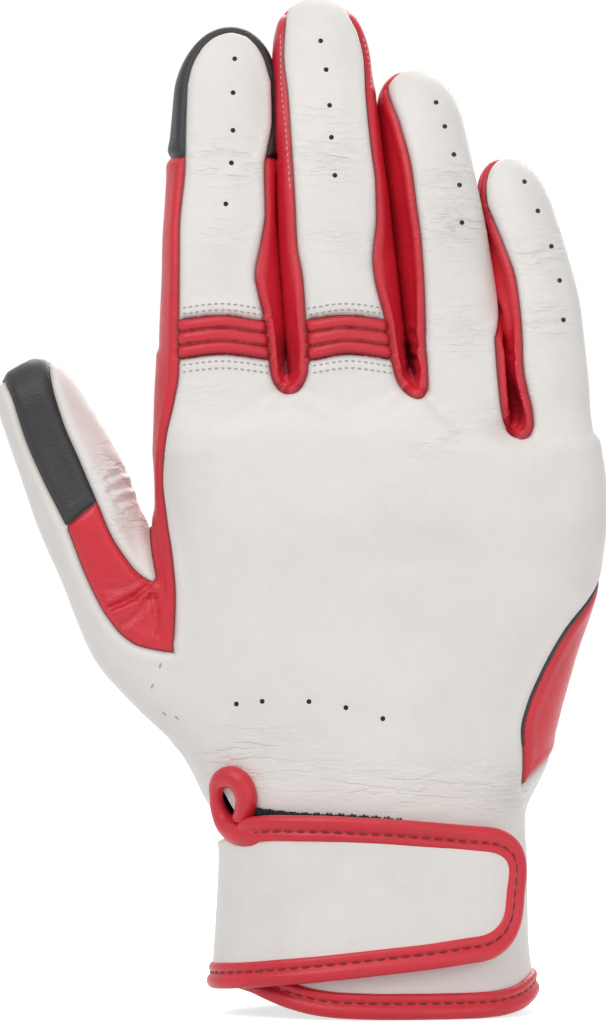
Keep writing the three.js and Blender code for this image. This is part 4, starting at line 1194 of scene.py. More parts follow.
def mix_colour(tree, factor, first, second):
    node = tree.nodes.new("ShaderNodeMix")
    node.data_type = "RGBA"
    for name, value in (("Factor", factor), ("A", first), ("B", second)):
        socket = node.inputs[name]
        if isinstance(value, bpy.types.NodeSocket):
            tree.links.new(value, socket)
        else:
            socket.default_value = value
    return node.outputs["Result"]


def map_range(tree, value, low, high):
    node = add_node(tree, "ShaderNodeMapRange", **{"To Min": low, "To Max": high})
    tree.links.new(value, node.inputs["Value"])
    return node.outputs["Result"]


def grey(level):
    return (level, level, level, 1.0)


FOLD_SCALE = 75
FOLD_STRETCH = 4.5  # how much longer the fine creases are than wide
FOLD_DEPTH = 0.0007
# darkness of the painted shade along the fine creases
FOLD_SHADE = 0.16
FOLD_STRENGTH = 0.8
FOLD_LINE = [(0.41, 0.0), (0.5, 1.0), (0.59, 0.0)]  # a fine crease as levels of its noise
# Noises as scale, detail and roughness
MOTTLE = (38, 4, 0.6)
MOTTLE_STOPS = (0.34, 0.58, 0.8)
FINE_GRAIN = (240, 3, 0.55)
FINE_STOPS = (0.3, 0.7)
FOLDS = (FOLD_SCALE, 3, 0.6)
PORES = (0.6, 3, 0.6)  # scale as a share of the grain's
FINE_SHARE = 0.35  # part of the fine grain in the colour
GLOSS_SPAN = 0.09
PEBBLE_SMOOTH = 0.6
PEBBLE_GAIN = -0.7
GRAIN_DEPTH = 0.0004
SPECULAR = 0.42
COAT_ROUGHNESS = 0.35
CLOTH_DEPTH = 0.0005
CLOTH_SHEEN = 0.25
CLOTH_NOISE = (4, 0.7)  # detail and roughness
CLOTH_RIBS = (0.25, 1.5, 2.0)  # scale as a share of the cloth's, distortion and detail
CLOTH_STOPS = (0.25, 0.75)
CLOTH_GLOSS = (-0.08, 0.06)


def leather(name, colour, shade, painted_shade_colour, rough, grain, bump, coat=0.0):
    """Grained leather: mottled colour with painted shade in the seams, the slits, the pleats' valleys and the
    fine creases, pebbled grain and uneven gloss.
    """
    material, tree, shader = new_material(name)
    place = tree.nodes.new("ShaderNodeTexCoord").outputs["Object"]
    mottle = noise(tree, place, *MOTTLE)
    fine = noise(tree, place, *FINE_GRAIN)
    base = ramp(tree, mottle, list(zip(MOTTLE_STOPS, (shade, colour, colour))))
    speckle = ramp(tree, fine, list(zip(FINE_STOPS, (shade, colour))))
    base = mix_colour(tree, FINE_SHARE, base, speckle)
    # Painted shade along the seam grooves, in the pleats' valleys and in the slits between the fingers
    seam = add_node(tree, "ShaderNodeAttribute", attribute_name="seam")
    base = mix_colour(tree, seam.outputs["Fac"], base, painted_shade_colour)
    fold = add_node(tree, "ShaderNodeAttribute", attribute_name="fold")
    stretched = add_node(tree, "ShaderNodeVectorMath", operation="MULTIPLY")
    tree.links.new(place, stretched.inputs[0])
    stretched.inputs[1].default_value = (1, 1, FOLD_STRETCH)
    lines = noise(tree, stretched.outputs["Vector"], *FOLDS)
    lines = ramp(tree, lines, [(position, grey(level)) for position, level in FOLD_LINE])
    crease = add_node(tree, "ShaderNodeMath", operation="MULTIPLY")
    tree.links.new(fold.outputs["Fac"], crease.inputs[0])
    tree.links.new(lines, crease.inputs[1])
    # Painted shade along the fine creases of the folded leather
    base = mix_colour(tree, map_range(tree, crease.outputs["Value"], 0.0, FOLD_SHADE), base, painted_shade_colour)
    tree.links.new(base, shader.inputs["Base Color"])
    tree.links.new(map_range(tree, fine, rough - GLOSS_SPAN, rough + GLOSS_SPAN), shader.inputs["Roughness"])
    pebble = add_node(tree, "ShaderNodeTexVoronoi", feature="SMOOTH_F1", Scale=grain,
                      Smoothness=PEBBLE_SMOOTH)
    tree.links.new(place, pebble.inputs["Vector"])
    pores = noise(tree, place, PORES[0] * grain, *PORES[1:])
    height = add_node(tree, "ShaderNodeMath", operation="MULTIPLY_ADD")
    tree.links.new(pebble.outputs["Distance"], height.inputs[0])
    height.inputs[1].default_value = PEBBLE_GAIN
    tree.links.new(pores, height.inputs[2])
    relief_node = add_node(tree, "ShaderNodeBump", Strength=bump, Distance=GRAIN_DEPTH)
    tree.links.new(height.outputs["Value"], relief_node.inputs["Height"])
    folds_node = add_node(tree, "ShaderNodeBump", Strength=FOLD_STRENGTH, Distance=FOLD_DEPTH)
    tree.links.new(map_range(tree, crease.outputs["Value"], 1.0, 0.0), folds_node.inputs["Height"])
    tree.links.new(relief_node.outputs["Normal"], folds_node.inputs["Normal"])
    tree.links.new(folds_node.outputs["Normal"], shader.inputs["Normal"])
    shader.inputs["Specular IOR Level"].default_value = SPECULAR
    shader.inputs["Coat Weight"].default_value = coat
    shader.inputs["Coat Roughness"].default_value = COAT_ROUGHNESS
    return material


def fabric(name, colour, shade, scale, rough=0.9, bump=0.5):
    """Woven or brushed cloth: crossed ribs broken up by noise."""
    material, tree, shader = new_material(name)
    place = tree.nodes.new("ShaderNodeTexCoord").outputs["Object"]
    fuzz = noise(tree, place, scale, *CLOTH_NOISE)
    rib_share, distortion, detail = CLOTH_RIBS
    ribs = add_node(tree, "ShaderNodeTexWave", Scale=rib_share * scale, Distortion=distortion,
                    Detail=detail)
    ribs.bands_direction = "DIAGONAL"
    tree.links.new(place, ribs.inputs["Vector"])
    both = mix_colour(tree, 0.5, fuzz, ribs.outputs["Fac"])
    base = ramp(tree, both, list(zip(CLOTH_STOPS, (shade, colour))))
    tree.links.new(base, shader.inputs["Base Color"])
    relief_node = add_node(tree, "ShaderNodeBump", Strength=bump, Distance=CLOTH_DEPTH)
    tree.links.new(both, relief_node.inputs["Height"])
    tree.links.new(relief_node.outputs["Normal"], shader.inputs["Normal"])
    gloss = map_range(tree, fuzz, rough + CLOTH_GLOSS[0], rough + CLOTH_GLOSS[1])
    tree.links.new(gloss, shader.inputs["Roughness"])
    shader.inputs["Sheen Weight"].default_value = CLOTH_SHEEN
    return material


# Leather: colour, darker tone of its mottling and grain, colour of the painted shade in the seams, slits,
# pleat valleys and fine creases, roughness, scale and strength of the grain, and gloss coat
WHITE = leather("white_leather", linear(228, 224, 220), linear(221, 216, 211), linear(176, 166, 160),
                0.5, 1500, 0.16)
RED = leather("red_leather", linear(207, 37, 53), linear(190, 28, 44), linear(104, 10, 20),
              0.42, 1300, 0.18, 0.12)
DARK = leather("touch_leather", linear(46, 46, 48), linear(35, 35, 37), linear(22, 22, 23),
               0.46, 1600, 0.3)
# Cloth: colour and shade, then scale, roughness and strength of the weave
LINING = fabric("lining_cloth", linear(44, 44, 46), linear(26, 26, 28), 1400)
TAPE = fabric("tape_cloth", linear(30, 30, 32), linear(14, 14, 15), 2600, 0.95, 0.9)
FOAM = fabric("pad_foam", linear(82, 82, 86), linear(62, 62, 66), 900)
GREY_THREAD = fabric("grey_thread", linear(196, 192, 189), linear(164, 160, 157), 5200, 0.7)
PALE_THREAD = fabric("pale_thread", linear(232, 178, 180), linear(205, 140, 146), 5200, 0.7)
RED_THREAD = fabric("red_thread", linear(150, 20, 34), linear(112, 10, 22), 5200, 0.7)
HOLE = fabric("vent_shade", linear(30, 28, 28), linear(16, 15, 15), 4000, 0.95)


# Pieces
def make(name, points, faces, material, normals=None, **attributes):
    """Mesh object from points in millimetres, with attributes of its points."""
    mesh = bpy.data.meshes.new(name)
    mesh.from_pydata((np.asarray(points) * MM).tolist(), [], [list(map(int, face)) for face in faces])
    mesh.shade_smooth()
    mesh.materials.append(material)
    for key, values in attributes.items():
        attribute = mesh.attributes.new(key, "FLOAT", "POINT")
        attribute.data.foreach_set("value", np.asarray(values, np.float32))
    if normals is not None:
        mesh.normals_split_custom_set(normals.reshape(-1, 3).tolist())
    piece = bpy.data.objects.new(name, mesh)
    bpy.context.scene.collection.objects.link(piece)
    return piece


def face_out(piece):
    """Turns the faces of a closed piece outwards."""
    work = bmesh.new()
    work.from_mesh(piece.data)
    bmesh.ops.recalc_face_normals(work, faces=work.faces)
    work.to_mesh(piece.data)
    work.free()
    return piece


def attach(piece, segment):
    """Lets a piece of the hand follow the hand; a piece of a finger only has its place baked into its mesh.
    """
    if segment == 0:
        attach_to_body(piece, "hand")
        return
    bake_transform(piece)


RED_PANELS = ["red", "ulnar", "index_stretch", "middle_stretch"]
SLOT_OF = {"touch": "leather_touch", **dict.fromkeys(RED_PANELS, "leather_red")}
LOOKS = {"leather_white": WHITE, "leather_red": RED, "leather_touch": DARK}
HAND_NODES = {
    "back": ["back_panel"],
    "palm": ["palm_panel"],
    "red": ["thumb_crotch_gusset", "web_index_middle", "web_middle_ring", "web_ring_little"],
    "thumb_outer": ["thumb_root_panel"],
    "ulnar": ["ulnar_gusset"],
    "cuff": ["cuff_band"],
}


def nodes_for(panel, segment):
    """Frame nodes that a panel of a segment stands for."""
    if segment == 0:
        return HAND_NODES.get(panel, [])
    i, upper = divmod(segment - 1, 2)
    if i == THUMB:
        level = "thumb_tip_" if upper else "thumb_base_"
        kind = {"thumb_outer": "outer", "thumb_inner": "inner", "red": "strip" if not upper else None,
                "touch": "strip" if upper else None}.get(panel)
        return [level + kind] if kind else []
    name = FINGER_NAMES[i]
    level = f"{name}_tip_" if upper else f"{name}_base_"
    if panel == "touch":
        return ["index_touch_tip"]
    if panel.endswith("_stretch"):
        return [name + "_stretch_panel"]
    if panel == "red":
        return [level + "side_outer", level + "side_inner"]
    if panel == "palm":
        return [level + "palm"]
    plain = name in ("ring", "little")
    return [level + "back"] if panel.endswith("_back") or (plain and panel == "back") else []


def segment_name(segment):
    if segment == 0:
        return "hand"
    i, upper = divmod(segment - 1, 2)
    return [*FINGER_NAMES, "thumb"][i] + ("_tip" if upper else "_base")


def dress(points, triangles, code, seam, fold):
    """One piece for each panel of each segment."""
    panel = code // SEGMENTS
    normals = panel_normals(points, triangles, sewn(panel))
    known = set(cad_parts)
    for number in np.unique(code):
        mine = code == number
        kind, segment = PANELS[number // SEGMENTS], number % SEGMENTS
        used, faces = np.unique(triangles[mine], return_inverse=True)
        slot = SLOT_OF.get(kind, "leather_white")
        piece = make(f"skin_{segment_name(segment)}_{kind}", points[used], faces.reshape(-1, 3), LOOKS[slot],
                     normals[mine], seam=seam[used], fold=fold[used])
        attach(piece, segment)
        nodes = [node for node in nodes_for(kind, segment) if node in known]
        if nodes:
            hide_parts(*nodes)


# Trim: strap, bindings, tapes, pads, lining and stitches
LEATHER_WALL = 1.2
LAYER_GAP = 0.3
TAPE_WALL = 1.0
STRAP = dict(root=-97, seated=-62, end=54.5, low=14.3, tilt=4.7, root_high=47, end_high=43.6)
STRAP_CORNER = (16, 7)  # degrees and height of the corners of its free end
STRAP_SLANT = 6  # degrees by which the low end of its edge stands back
STRAP_EDGE_START = -56  # where the binding of its upper edge comes out from under the curl
STRAP_TAPER = 8  # points of its path over which that end narrows
STRAP_FALL = -20  # where the upper edge begins to fall towards the free end, in degrees
STRAP_DROP = 4  # how far the upper edge falls at the sewn end
STRAP_DROP_SPAN = (-30, 56)  # where that begins, and over how many degrees
STRAP_SLANT_SPAN = (10, 46)  # where the slant begins, and over how many degrees
STRAP_SLANT_TOP = (43, 26)  # height above which it ends, and over which it grows
STRAP_MARGIN = 0.6  # by which the leather stays inside the binding's path
STRAP_PUFF = 0.55
STRAP_PUFF_TURN = 8  # degrees over which it begins
STRAP_RIPPLE = 0.16
STRAP_WAVES = (7.0, 1.5, 15, 3)  # length in degrees and lean of the ripple's quick and slow waves
STRAP_SHORT = 1.0  # degrees by which the leather ends before the binding
STRAP_PATH = (3, 0.4, 0.6)  # its binding's path: degrees past the root and the end, share of the wall
STRAP_POINTS = 30  # of that path along the lower edge
STRAP_GRID = (90, 26)  # points along and across
STRAP_BEND = [0.35, 0.65, 0.87, 0.98]  # points of its binding on the lower corner, as shares of that corner
DEGREE_RUN = 0.6  # about the length of a degree round the cuff, which spaces the binding's points evenly
STRAP_OUT = 3 * LAYER_GAP + 2 * TAPE_WALL  # inner face of the strap above the cuff
STRAP_EDGE = 2.5
CLOSURE = (8, 44)  # hook and loop pads, degrees round the cuff
# Section of a binding, from its inner edge over its face: across and out
BINDING = [(-3.2, -0.2), (-3.1, 0.75), (-2.4, 1.25), (-1.4, 1.2), (-0.8, 0.75), (-0.2, 1.2), (0.8, 1.8),
           (1.8, 1.85), (2.8, 1.3), (3.2, 0.3), (3.0, -0.7), (2.1, -1.4), (0.6, -1.6), (-1.0, -1.4),
           (-2.4, -1.0)]
GROOVE = (-0.8, 0.9)  # place of the stitches on it
HEM_SPAN = (-62, 293)  # degrees round the cuff that the hem's binding covers, from slit to slit
HEM_PATH = (3.3, -0.4)  # height of its path above the hem, and how far outside the skin
BINDING_POINTS = 260  # along a binding
STRAP_AROUND = 40  # points round the strap's binding
HEM_AROUND = 36
# Threads: length of a stitch, gap and radius
BINDING_THREAD = (2.3, 0.8, 0.3)
PATCH_THREAD = (1.7, 0.9, 0.24)
STRETCH_THREAD = (0.95, 0.65, 0.2)
WALL_THREAD = (0.9, 0.7, 0.2)
ROOT_THREAD = (1.5, 0.2, 0.22)
STITCH_RINGS = [(-0.5, 0.35), (-0.36, 0.85), (0, 1.0), (0.36, 0.85), (0.5, 0.35)]  # place along it, and size
STITCH_SIDES = 6
STITCH_SAG = -0.5
ROLL = [(math.cos(turn), math.sin(turn)) for turn in np.linspace(0, 2 * math.pi, 20, endpoint=False)]
# Rolled binding of the slit: column, row, radius and height of its axis above the skin
CURL = [(266, 835, 2.5, 2.8), (253, 837, 3.05, 3.5), (240, 836, 3.15, 3.9), (227, 828, 2.8, 3.7),
        (219, 814, 2.2, 3.0), (215.5, 797, 1.75, 2.3), (216.5, 787, 2.0, 1.9), (222, 780.5, 2.5, 1.9),
        (231, 778.5, 2.8, 2.0), (240, 784, 2.9, 2.0), (245.5, 796, 2.75, 2.0), (245, 810, 2.6, 2.0),
        (241, 822, 2.4, 1.6)]
CURL_OUT = (-0.25, -1.0, 0.0)
STITCH_ROWS = {
    "index": [[(181, 306), (222, 302), (262, 307)], [(181, 312), (222, 308), (263, 313)],
              [(181, 364), (222, 360), (268, 365)], [(181, 371), (222, 367), (270, 372)]],
    "middle": [[(307, 307), (345, 302), (383, 306)], [(308, 313), (345, 308), (385, 312)],
               [(312, 365), (348, 360), (392, 365)], [(312, 372), (348, 367), (393, 372)]],
}
WALL_STITCHES = [[(280, 24), (281.5, 84), (285.5, 124), (290, 186)], [(364, 27), (370.5, 54), (372.5, 84)]]
# Upper edge of the dark strip above the strap, frayed loop cloth and painted shadow of the gap under the
# strap's edge, as (column, row)
FUZZ = [(246, 818), (253, 809), (275, 811), (300, 813), (340, 814.5), (380, 817), (404, 820), (416, 826)]
FUZZ_FOOT = 834
FUZZ_STEP = 0.7  # columns between its points
FUZZ_FRAY = (0.6, 0.8, 290, 40)  # least fray, what is added, the column where that begins, and over which
FUZZ_TUFTS = (2.9, 1.37, 0.6, 0.53)  # two quick waves of its edge, height of the slow one and that wave
FUZZ_ROUGH = ((0.14, 3.7, 5), (0.1, 2.3))  # height and waves of its uneven outer face
FUZZ_ROWS = 8
FUZZ_WALL = (0.75, 0.1)  # outer and inner face above the skin
ROOT_STITCHES = [[(160, 664), (157, 672)], [(152, 685), (148, 693)], [(160, 714), (166, 718)],
                 [(173, 718), (178, 722)]]
PATCH = dict(x=(18, 50), z=(58, 88), corner=9.0, rise=0.9, grid=(44, 40), sunk=0.6, least=0.05, square=8)
PATCH_EDGE = (0.93, 0.07)  # share of its half size from which it falls to the palm, and over which
PATCH_SEAM = (0.35, 0.9, 0.025)  # depth, place and half width of its sewn groove
PATCH_STITCHES = 2  # grid lines between its edge and the stitches
STITCH_LIFT = 0.12  # of grey stitches above the leather
WALL_LIFT = 0.1
ROOT_LIFT = 0.08
ROW_POINTS = 60  # along a row of stitches
ROOT_POINTS = 8
SLIT_EDGES = dict(z=(11, 49), out=0.9, lean=2.2, half=(1.5, 0.75), points=40)  # bindings of the wrist slit
ELASTIC = dict(turn=(125, 235), z=(36, 45), ribs=130, rib=0.18, inset=0.5, grid=(180, 16))
TAPE_HOOKS = 0.12
TAPE_FUZZ = 0.1
TAPE_GRID = (70, 40)
HOOK_WAVES = (4.4, 3.6)  # waves round the cuff and up
LOOP_WAVES = (3.1, 2.7)
TAPE_SINK = 0.05
TAPE_SHIFT = 3  # degrees between the tapes and the part of the strap that sets their height
CUSHION = dict(turn=(-44, 32), low=115, height=26, slope=8, top=-3.0, edge=0.6, crown=1.9, square=6,
               grid=(60, 30))
VENT_SIDES = 14
VENT_DISH = [(1.0, 0.0), (0.9, 0.09), (0.6, 0.06), (0.3, 0.05)]  # share of the radius, and height


def unit(vectors):
    return vectors / np.maximum(np.linalg.norm(vectors, axis=-1, keepdims=True), 1e-9)


def frames(path, outs):
    """Directions along, across and out of a path."""
    along = unit(np.gradient(path, axis=0))
    out = unit(outs - (outs * along).sum(1)[:, None] * along)
    return along, np.cross(along, out), out


def sweep(path, outs, profile, scale=None):
    """Points and faces of a profile carried along a path, with rounded-off ends."""
    path, profile = np.asarray(path), np.asarray(profile)
    scale = np.ones(len(path)) if scale is None else np.asarray(scale)
    _, across, out = frames(path, outs)
    sized = profile[None] * scale[:, None, None]
    rings = path[:, None] + sized[..., :1] * across[:, None] + sized[..., 1:] * out[:, None]
    rows, columns = rings.shape[:2]
    number = np.arange(rows * columns).reshape(rows, columns)
    following = np.roll(number, -1, axis=1)
    quads = np.stack([number[:-1], following[:-1], following[1:], number[1:]], -1).reshape(-1, 4)
    faces = quads.tolist() + [number[0][::-1].tolist(), number[-1].tolist()]
    return rings.reshape(-1, 3), faces


def slab(outer, inner):
    """Closed sheet between two grids of points."""
    rows, columns = outer.shape[:2]
    number = np.arange(rows * columns).reshape(rows, columns)
    under = number + rows * columns
    top = [number[:-1, :-1], number[:-1, 1:], number[1:, 1:], number[1:, :-1]]
    bottom = [under[:-1, :-1], under[1:, :-1], under[1:, 1:], under[:-1, 1:]]
    faces = [face for side in (top, bottom) for face in np.stack(side, -1).reshape(-1, 4).tolist()]
    ring = np.concatenate([number[0], number[1:, -1], number[-1, -2::-1], number[-2:0:-1, 0]])
    low = ring + rows * columns
    faces += np.stack([ring, low, np.roll(low, -1), np.roll(ring, -1)], -1).tolist()
    return np.concatenate([outer.reshape(-1, 3), inner.reshape(-1, 3)]), faces


def rounded_power(value):
    return np.sign(value) * np.abs(value) ** (2 / HAND_POWER)


def cuff_point(z, v, out):
    """Point at a height and an angle round the cuff or the hand, outside its skin."""
    z, v, out = np.broadcast_arrays(np.asarray(z, float), np.asarray(v, float), np.asarray(out, float))
    cx, cy, a, b = at_level(HAND_TABLES, z)
    turn = np.radians(v)
    x = cx + (a + out) * rounded_power(np.sin(turn))
    y = cy - (b + out) * rounded_power(np.cos(turn))
    return np.stack([x, y, z], -1)


def cuff_out(z, v):
    return unit(cuff_point(z, v, 1.0) - cuff_point(z, v, 0.0))


def strap_corner(v):
    turn, rise = STRAP_CORNER
    share = np.clip((v - STRAP["end"] + turn) / turn, 0, 1)
    return rise * (1 - np.sqrt(1 - share * share))


def strap_low(v):
    return STRAP["low"] + STRAP["tilt"] * rounded_power(np.sin(np.radians(v))) + strap_corner(v)


def strap_high(v):
    share = ease((v - STRAP_FALL) / (STRAP["end"] - STRAP_FALL))
    drop = STRAP_DROP * ease((STRAP_DROP_SPAN[0] - v) / STRAP_DROP_SPAN[1])
    return STRAP["root_high"] + (STRAP["end_high"] - STRAP["root_high"]) * share - strap_corner(v) - drop


def strap_turn(v, z):
    """Angle of a place on the strap, whose free end slants."""
    (begin, span), (top, height) = STRAP_SLANT_SPAN, STRAP_SLANT_TOP
    return v - STRAP_SLANT * ease((v - begin) / span) * np.clip((top - z) / height, 0, 1)


def strap_out(v):
    return LAYER_GAP + (STRAP_OUT - LAYER_GAP) * ease((v - STRAP["root"]) / (STRAP["seated"] - STRAP["root"]))


def finish_piece(piece, body, slot, *nodes, folds=False):
    """Turns a piece's faces out, lets it follow its body and hides the frame nodes it stands for; one that
    folds only has its place baked into its mesh. The slot is not used.
    """
    face_out(piece)
    if folds:
        root = cuff_point(STRAP["low"], STRAP["root"], 0)
        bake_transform(piece)
    else:
        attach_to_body(piece, body)
    if nodes:
        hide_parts(*nodes)
    return piece


def tube_faces(first, rings, sides):
    """Faces between rings of points, numbered from the first one."""
    faces = []
    for ring in range(rings - 1):
        for k in range(sides):
            a, b = first + ring * sides + k, first + ring * sides + (k + 1) % sides
            faces.append((a, b, b + sides, a + sides))
    return faces


def capsules(path, outs, length, gap, radius):
    """A row of thread stitches along a path."""
    steps = np.concatenate([[0], np.cumsum(np.linalg.norm(np.diff(path, axis=0), axis=1))])
    along, across, out = frames(path, outs)
    points, faces = [], []
    sides, rings = STITCH_SIDES, STITCH_RINGS
    for at in np.arange(gap / 2, steps[-1] - length, length + gap) + length / 2:
        centre, t, a, o = (np.array([np.interp(at, steps, values[:, k]) for k in range(3)])
                           for values in (path, along, across, out))
        first = len(points)
        for place, size in rings:
            for k in range(sides):
                turn = 2 * math.pi * k / sides
                sag = STITCH_SAG * (2 * place) ** 2
                offset = size * (math.cos(turn) * a + math.sin(turn) * o) + sag * o
                points.append(centre + place * length * t + radius * offset)
        faces += tube_faces(first, len(rings), sides)
        faces.append(tuple(first + k for k in reversed(range(sides))))
        faces.append(tuple(first + (len(rings) - 1) * sides + k for k in range(sides)))
    return np.array(points), faces


def join(parts):
    """Several meshes as one list of points and faces."""
    points, faces, first = [], [], 0
    for part_points, part_faces in parts:
        points.append(part_points)
        faces += [[first + k for k in face] for face in part_faces]
        first += len(part_points)
    return np.concatenate(points), faces


def bind(name, path, outs, around, body, node, taper=None, folds=False):
    """Leather binding along a path, with stitches in its groove."""
    edge = make(name + "_edge", *sweep(path, outs, smooth_path(BINDING, around, True), taper), RED)
    finish_piece(edge, body, "leather_red", node, folds=folds)
    _, across, out = frames(path, outs)
    thread = path + GROOVE[0] * across + GROOVE[1] * out
    stitches = make(name + "_stitches", *capsules(thread, outs, *BINDING_THREAD), RED_THREAD)
    finish_piece(stitches, body, "tape", folds=folds)


def make_strap():
    columns, rows = STRAP_GRID
    v = np.linspace(STRAP["root"], STRAP["end"] - STRAP_SHORT, columns)
    share = np.linspace(0, 1, rows)[:, None]
    low, high = strap_low(v) + STRAP_MARGIN, strap_high(v) - STRAP_MARGIN
    z = low + share * (high - low)
    puff = STRAP_PUFF * (1 - (2 * share - 1) ** 4) * ease((v - STRAP["seated"]) / STRAP_PUFF_TURN)
    quick, quick_lean, slow, slow_lean = STRAP_WAVES
    ripple = STRAP_RIPPLE * np.sin(v / quick + quick_lean * share) * np.sin(slow_lean * share + v / slow)
    turn = strap_turn(v, z)
    outer = cuff_point(z, turn, strap_out(v) + LEATHER_WALL + puff + ripple)
    panel = make("strap_leather", *slab(outer, cuff_point(z, turn, strap_out(v))), WHITE)
    finish_piece(panel, "strap", "leather_white", "strap_panel", folds=True)

    past_root, past_end, wall_share = STRAP_PATH
    straight = np.linspace(STRAP["root"] + past_root, STRAP["end"] - STRAP_CORNER[0], STRAP_POINTS)
    bend = STRAP["end"] - STRAP_CORNER[0] * (1 - np.array(STRAP_BEND))
    run = np.concatenate([straight, bend])
    middle = (strap_low(run[-1]) + strap_high(run[-1])) / 2
    upper = run[run > STRAP_EDGE_START][::-1]
    turn = np.concatenate([run, [STRAP["end"] + past_end], upper])
    level = np.concatenate([strap_low(run), [middle], strap_high(upper)])
    rail = smooth_path(np.column_stack([turn * DEGREE_RUN, level]), BINDING_POINTS)
    level = rail[:, 1]
    turn = strap_turn(rail[:, 0] / DEGREE_RUN, level)
    path = cuff_point(level, turn, strap_out(turn) + wall_share * LEATHER_WALL)
    outs = cuff_out(level, turn)
    taper = 1 - 0.5 * ease((np.arange(len(path)) - len(path) + STRAP_TAPER) / STRAP_TAPER)
    bind("strap", path, outs, STRAP_AROUND, "strap", "strap_binding", taper, folds=True)


def make_hem():
    v = np.linspace(*HEM_SPAN, BINDING_POINTS)
    side = rounded_power(np.sin(np.radians(v)))
    rise, outside = HEM_PATH
    z = hem_level(side) + rise
    bind("hem", cuff_point(z, v, outside), cuff_out(z, v), HEM_AROUND, "hand", "hem_binding")


class Front:
    """Finds the skin behind a pixel of the photograph."""

    def __init__(self, points, triangles):
        self.tree = BVHTree.FromPolygons(points.tolist(), triangles.tolist())

    def at(self, column, row, side=-1):
        x, z = x_of(column), z_of(row)
        place, normal, _, _ = self.tree.ray_cast(Vector((x, 100.0 * side, z)), Vector((0, -side, 0)))
        return None if place is None else (np.array(place), np.array(normal))

    def path(self, polyline, count):
        """Path on the skin along a smooth line of pixels, with its outward directions."""
        hits = [self.at(column, row) for column, row in smooth_path(polyline, count)]
        hits = [hit for hit in hits if hit]
        return np.array([hit[0] for hit in hits]), np.array([hit[1] for hit in hits])


EDGE_SHARE = 0.97  # of the half width of the hand's section


def back_of_hand(x, z):
    """Depth of the back of the hand, kept short of the very edge of its section."""
    cx, cy, a, b = at_level(HAND_TABLES, z)
    share = np.minimum(np.abs(x - cx) / a, EDGE_SHARE)
    return cy - b * (1 - share**HAND_POWER) ** (1 / HAND_POWER)


# Radius of the piping along its seam
PIPING = [(0.0, 0.3), (0.04, 0.75), (0.15, 0.7), (0.4, 0.5), (0.75, 0.42), (0.95, 0.35), (1.0, 0.2)]
PIPING_OUT = 0.15
PIPING_POINTS = 90
PIPING_STEP = 6  # points of the seam for each point of the piping
CURL_POINTS = 80
CURL_EASE = 7  # points on each side over which the depth of the curl is evened out


def make_curl():
    """Rolled binding that finishes the end of the wrist slit."""
    rail = smooth_path(np.array(CURL), CURL_POINTS)
    radius, lift = rail[:, 2], rail[:, 3]
    x, z = x_of(rail[:, 0]), z_of(rail[:, 1])
    depth = np.pad(back_of_hand(x, z) - lift, CURL_EASE, mode="edge")
    depth = np.convolve(depth, np.full(2 * CURL_EASE + 1, 1 / (2 * CURL_EASE + 1)), mode="valid")
    path = np.column_stack([x, depth, z])
    outs = np.tile(CURL_OUT, (len(path), 1))
    curl = make("slit_curl", *sweep(path, outs, ROLL, radius), RED)
    finish_piece(curl, "hand", "leather_red", "slit_binding")


def make_piping(points, triangles, owner, code):
    """Dark piping along the upper seam of the leaf on the little-finger edge."""
    panel = code // SEGMENTS
    leaf = np.unique(triangles[panel == PANEL["ulnar"]])
    shared = np.intersect1d(leaf, np.unique(triangles[panel == PANEL["back"]]))
    seam = shared[np.argsort(-points[shared][:, 2])]
    count = len(seam) // PIPING_STEP
    groups = np.array_split(seam, count)
    path = smooth_path([points[group].mean(0) for group in groups], PIPING_POINTS)
    outs = unit(np.array([gradient(points[group], owner[group]).mean(0) for group in groups]))
    place = np.linspace(0, 1, len(path))
    outs = np.stack([np.interp(place, np.linspace(0, 1, count), outs[:, k]) for k in range(3)], -1)
    piping = make("leaf_piping", *sweep(path + PIPING_OUT * outs, outs, ROLL, on_curve(PIPING, place)), DARK)
    finish_piece(piping, "hand", "leather_touch")


def make_slit_edges():
    """Flat binding along both sides of the wrist slit, under the strap."""
    parts = []
    half_width, half_height = SLIT_EDGES["half"]
    for sign in (-1, 1):
        z = np.linspace(*SLIT_EDGES["z"], SLIT_EDGES["points"])
        cx, cy, a, _ = at_level(HAND_TABLES, z)
        x = cx + SLIT_SIDE * a + sign * (SLIT_HALF + SLIT_EDGES["out"])
        y = back_of_hand(x, z)
        path = np.column_stack([x, y, z])
        outs = unit(np.column_stack([x - cx, SLIT_EDGES["lean"] * (y - cy), 0 * z]))
        parts.append(sweep(path, outs, [(half_width * c, half_height * s) for c, s in ROLL]))
    edges = make("slit_edges", *join(parts), RED)
    finish_piece(edges, "hand", "leather_red")


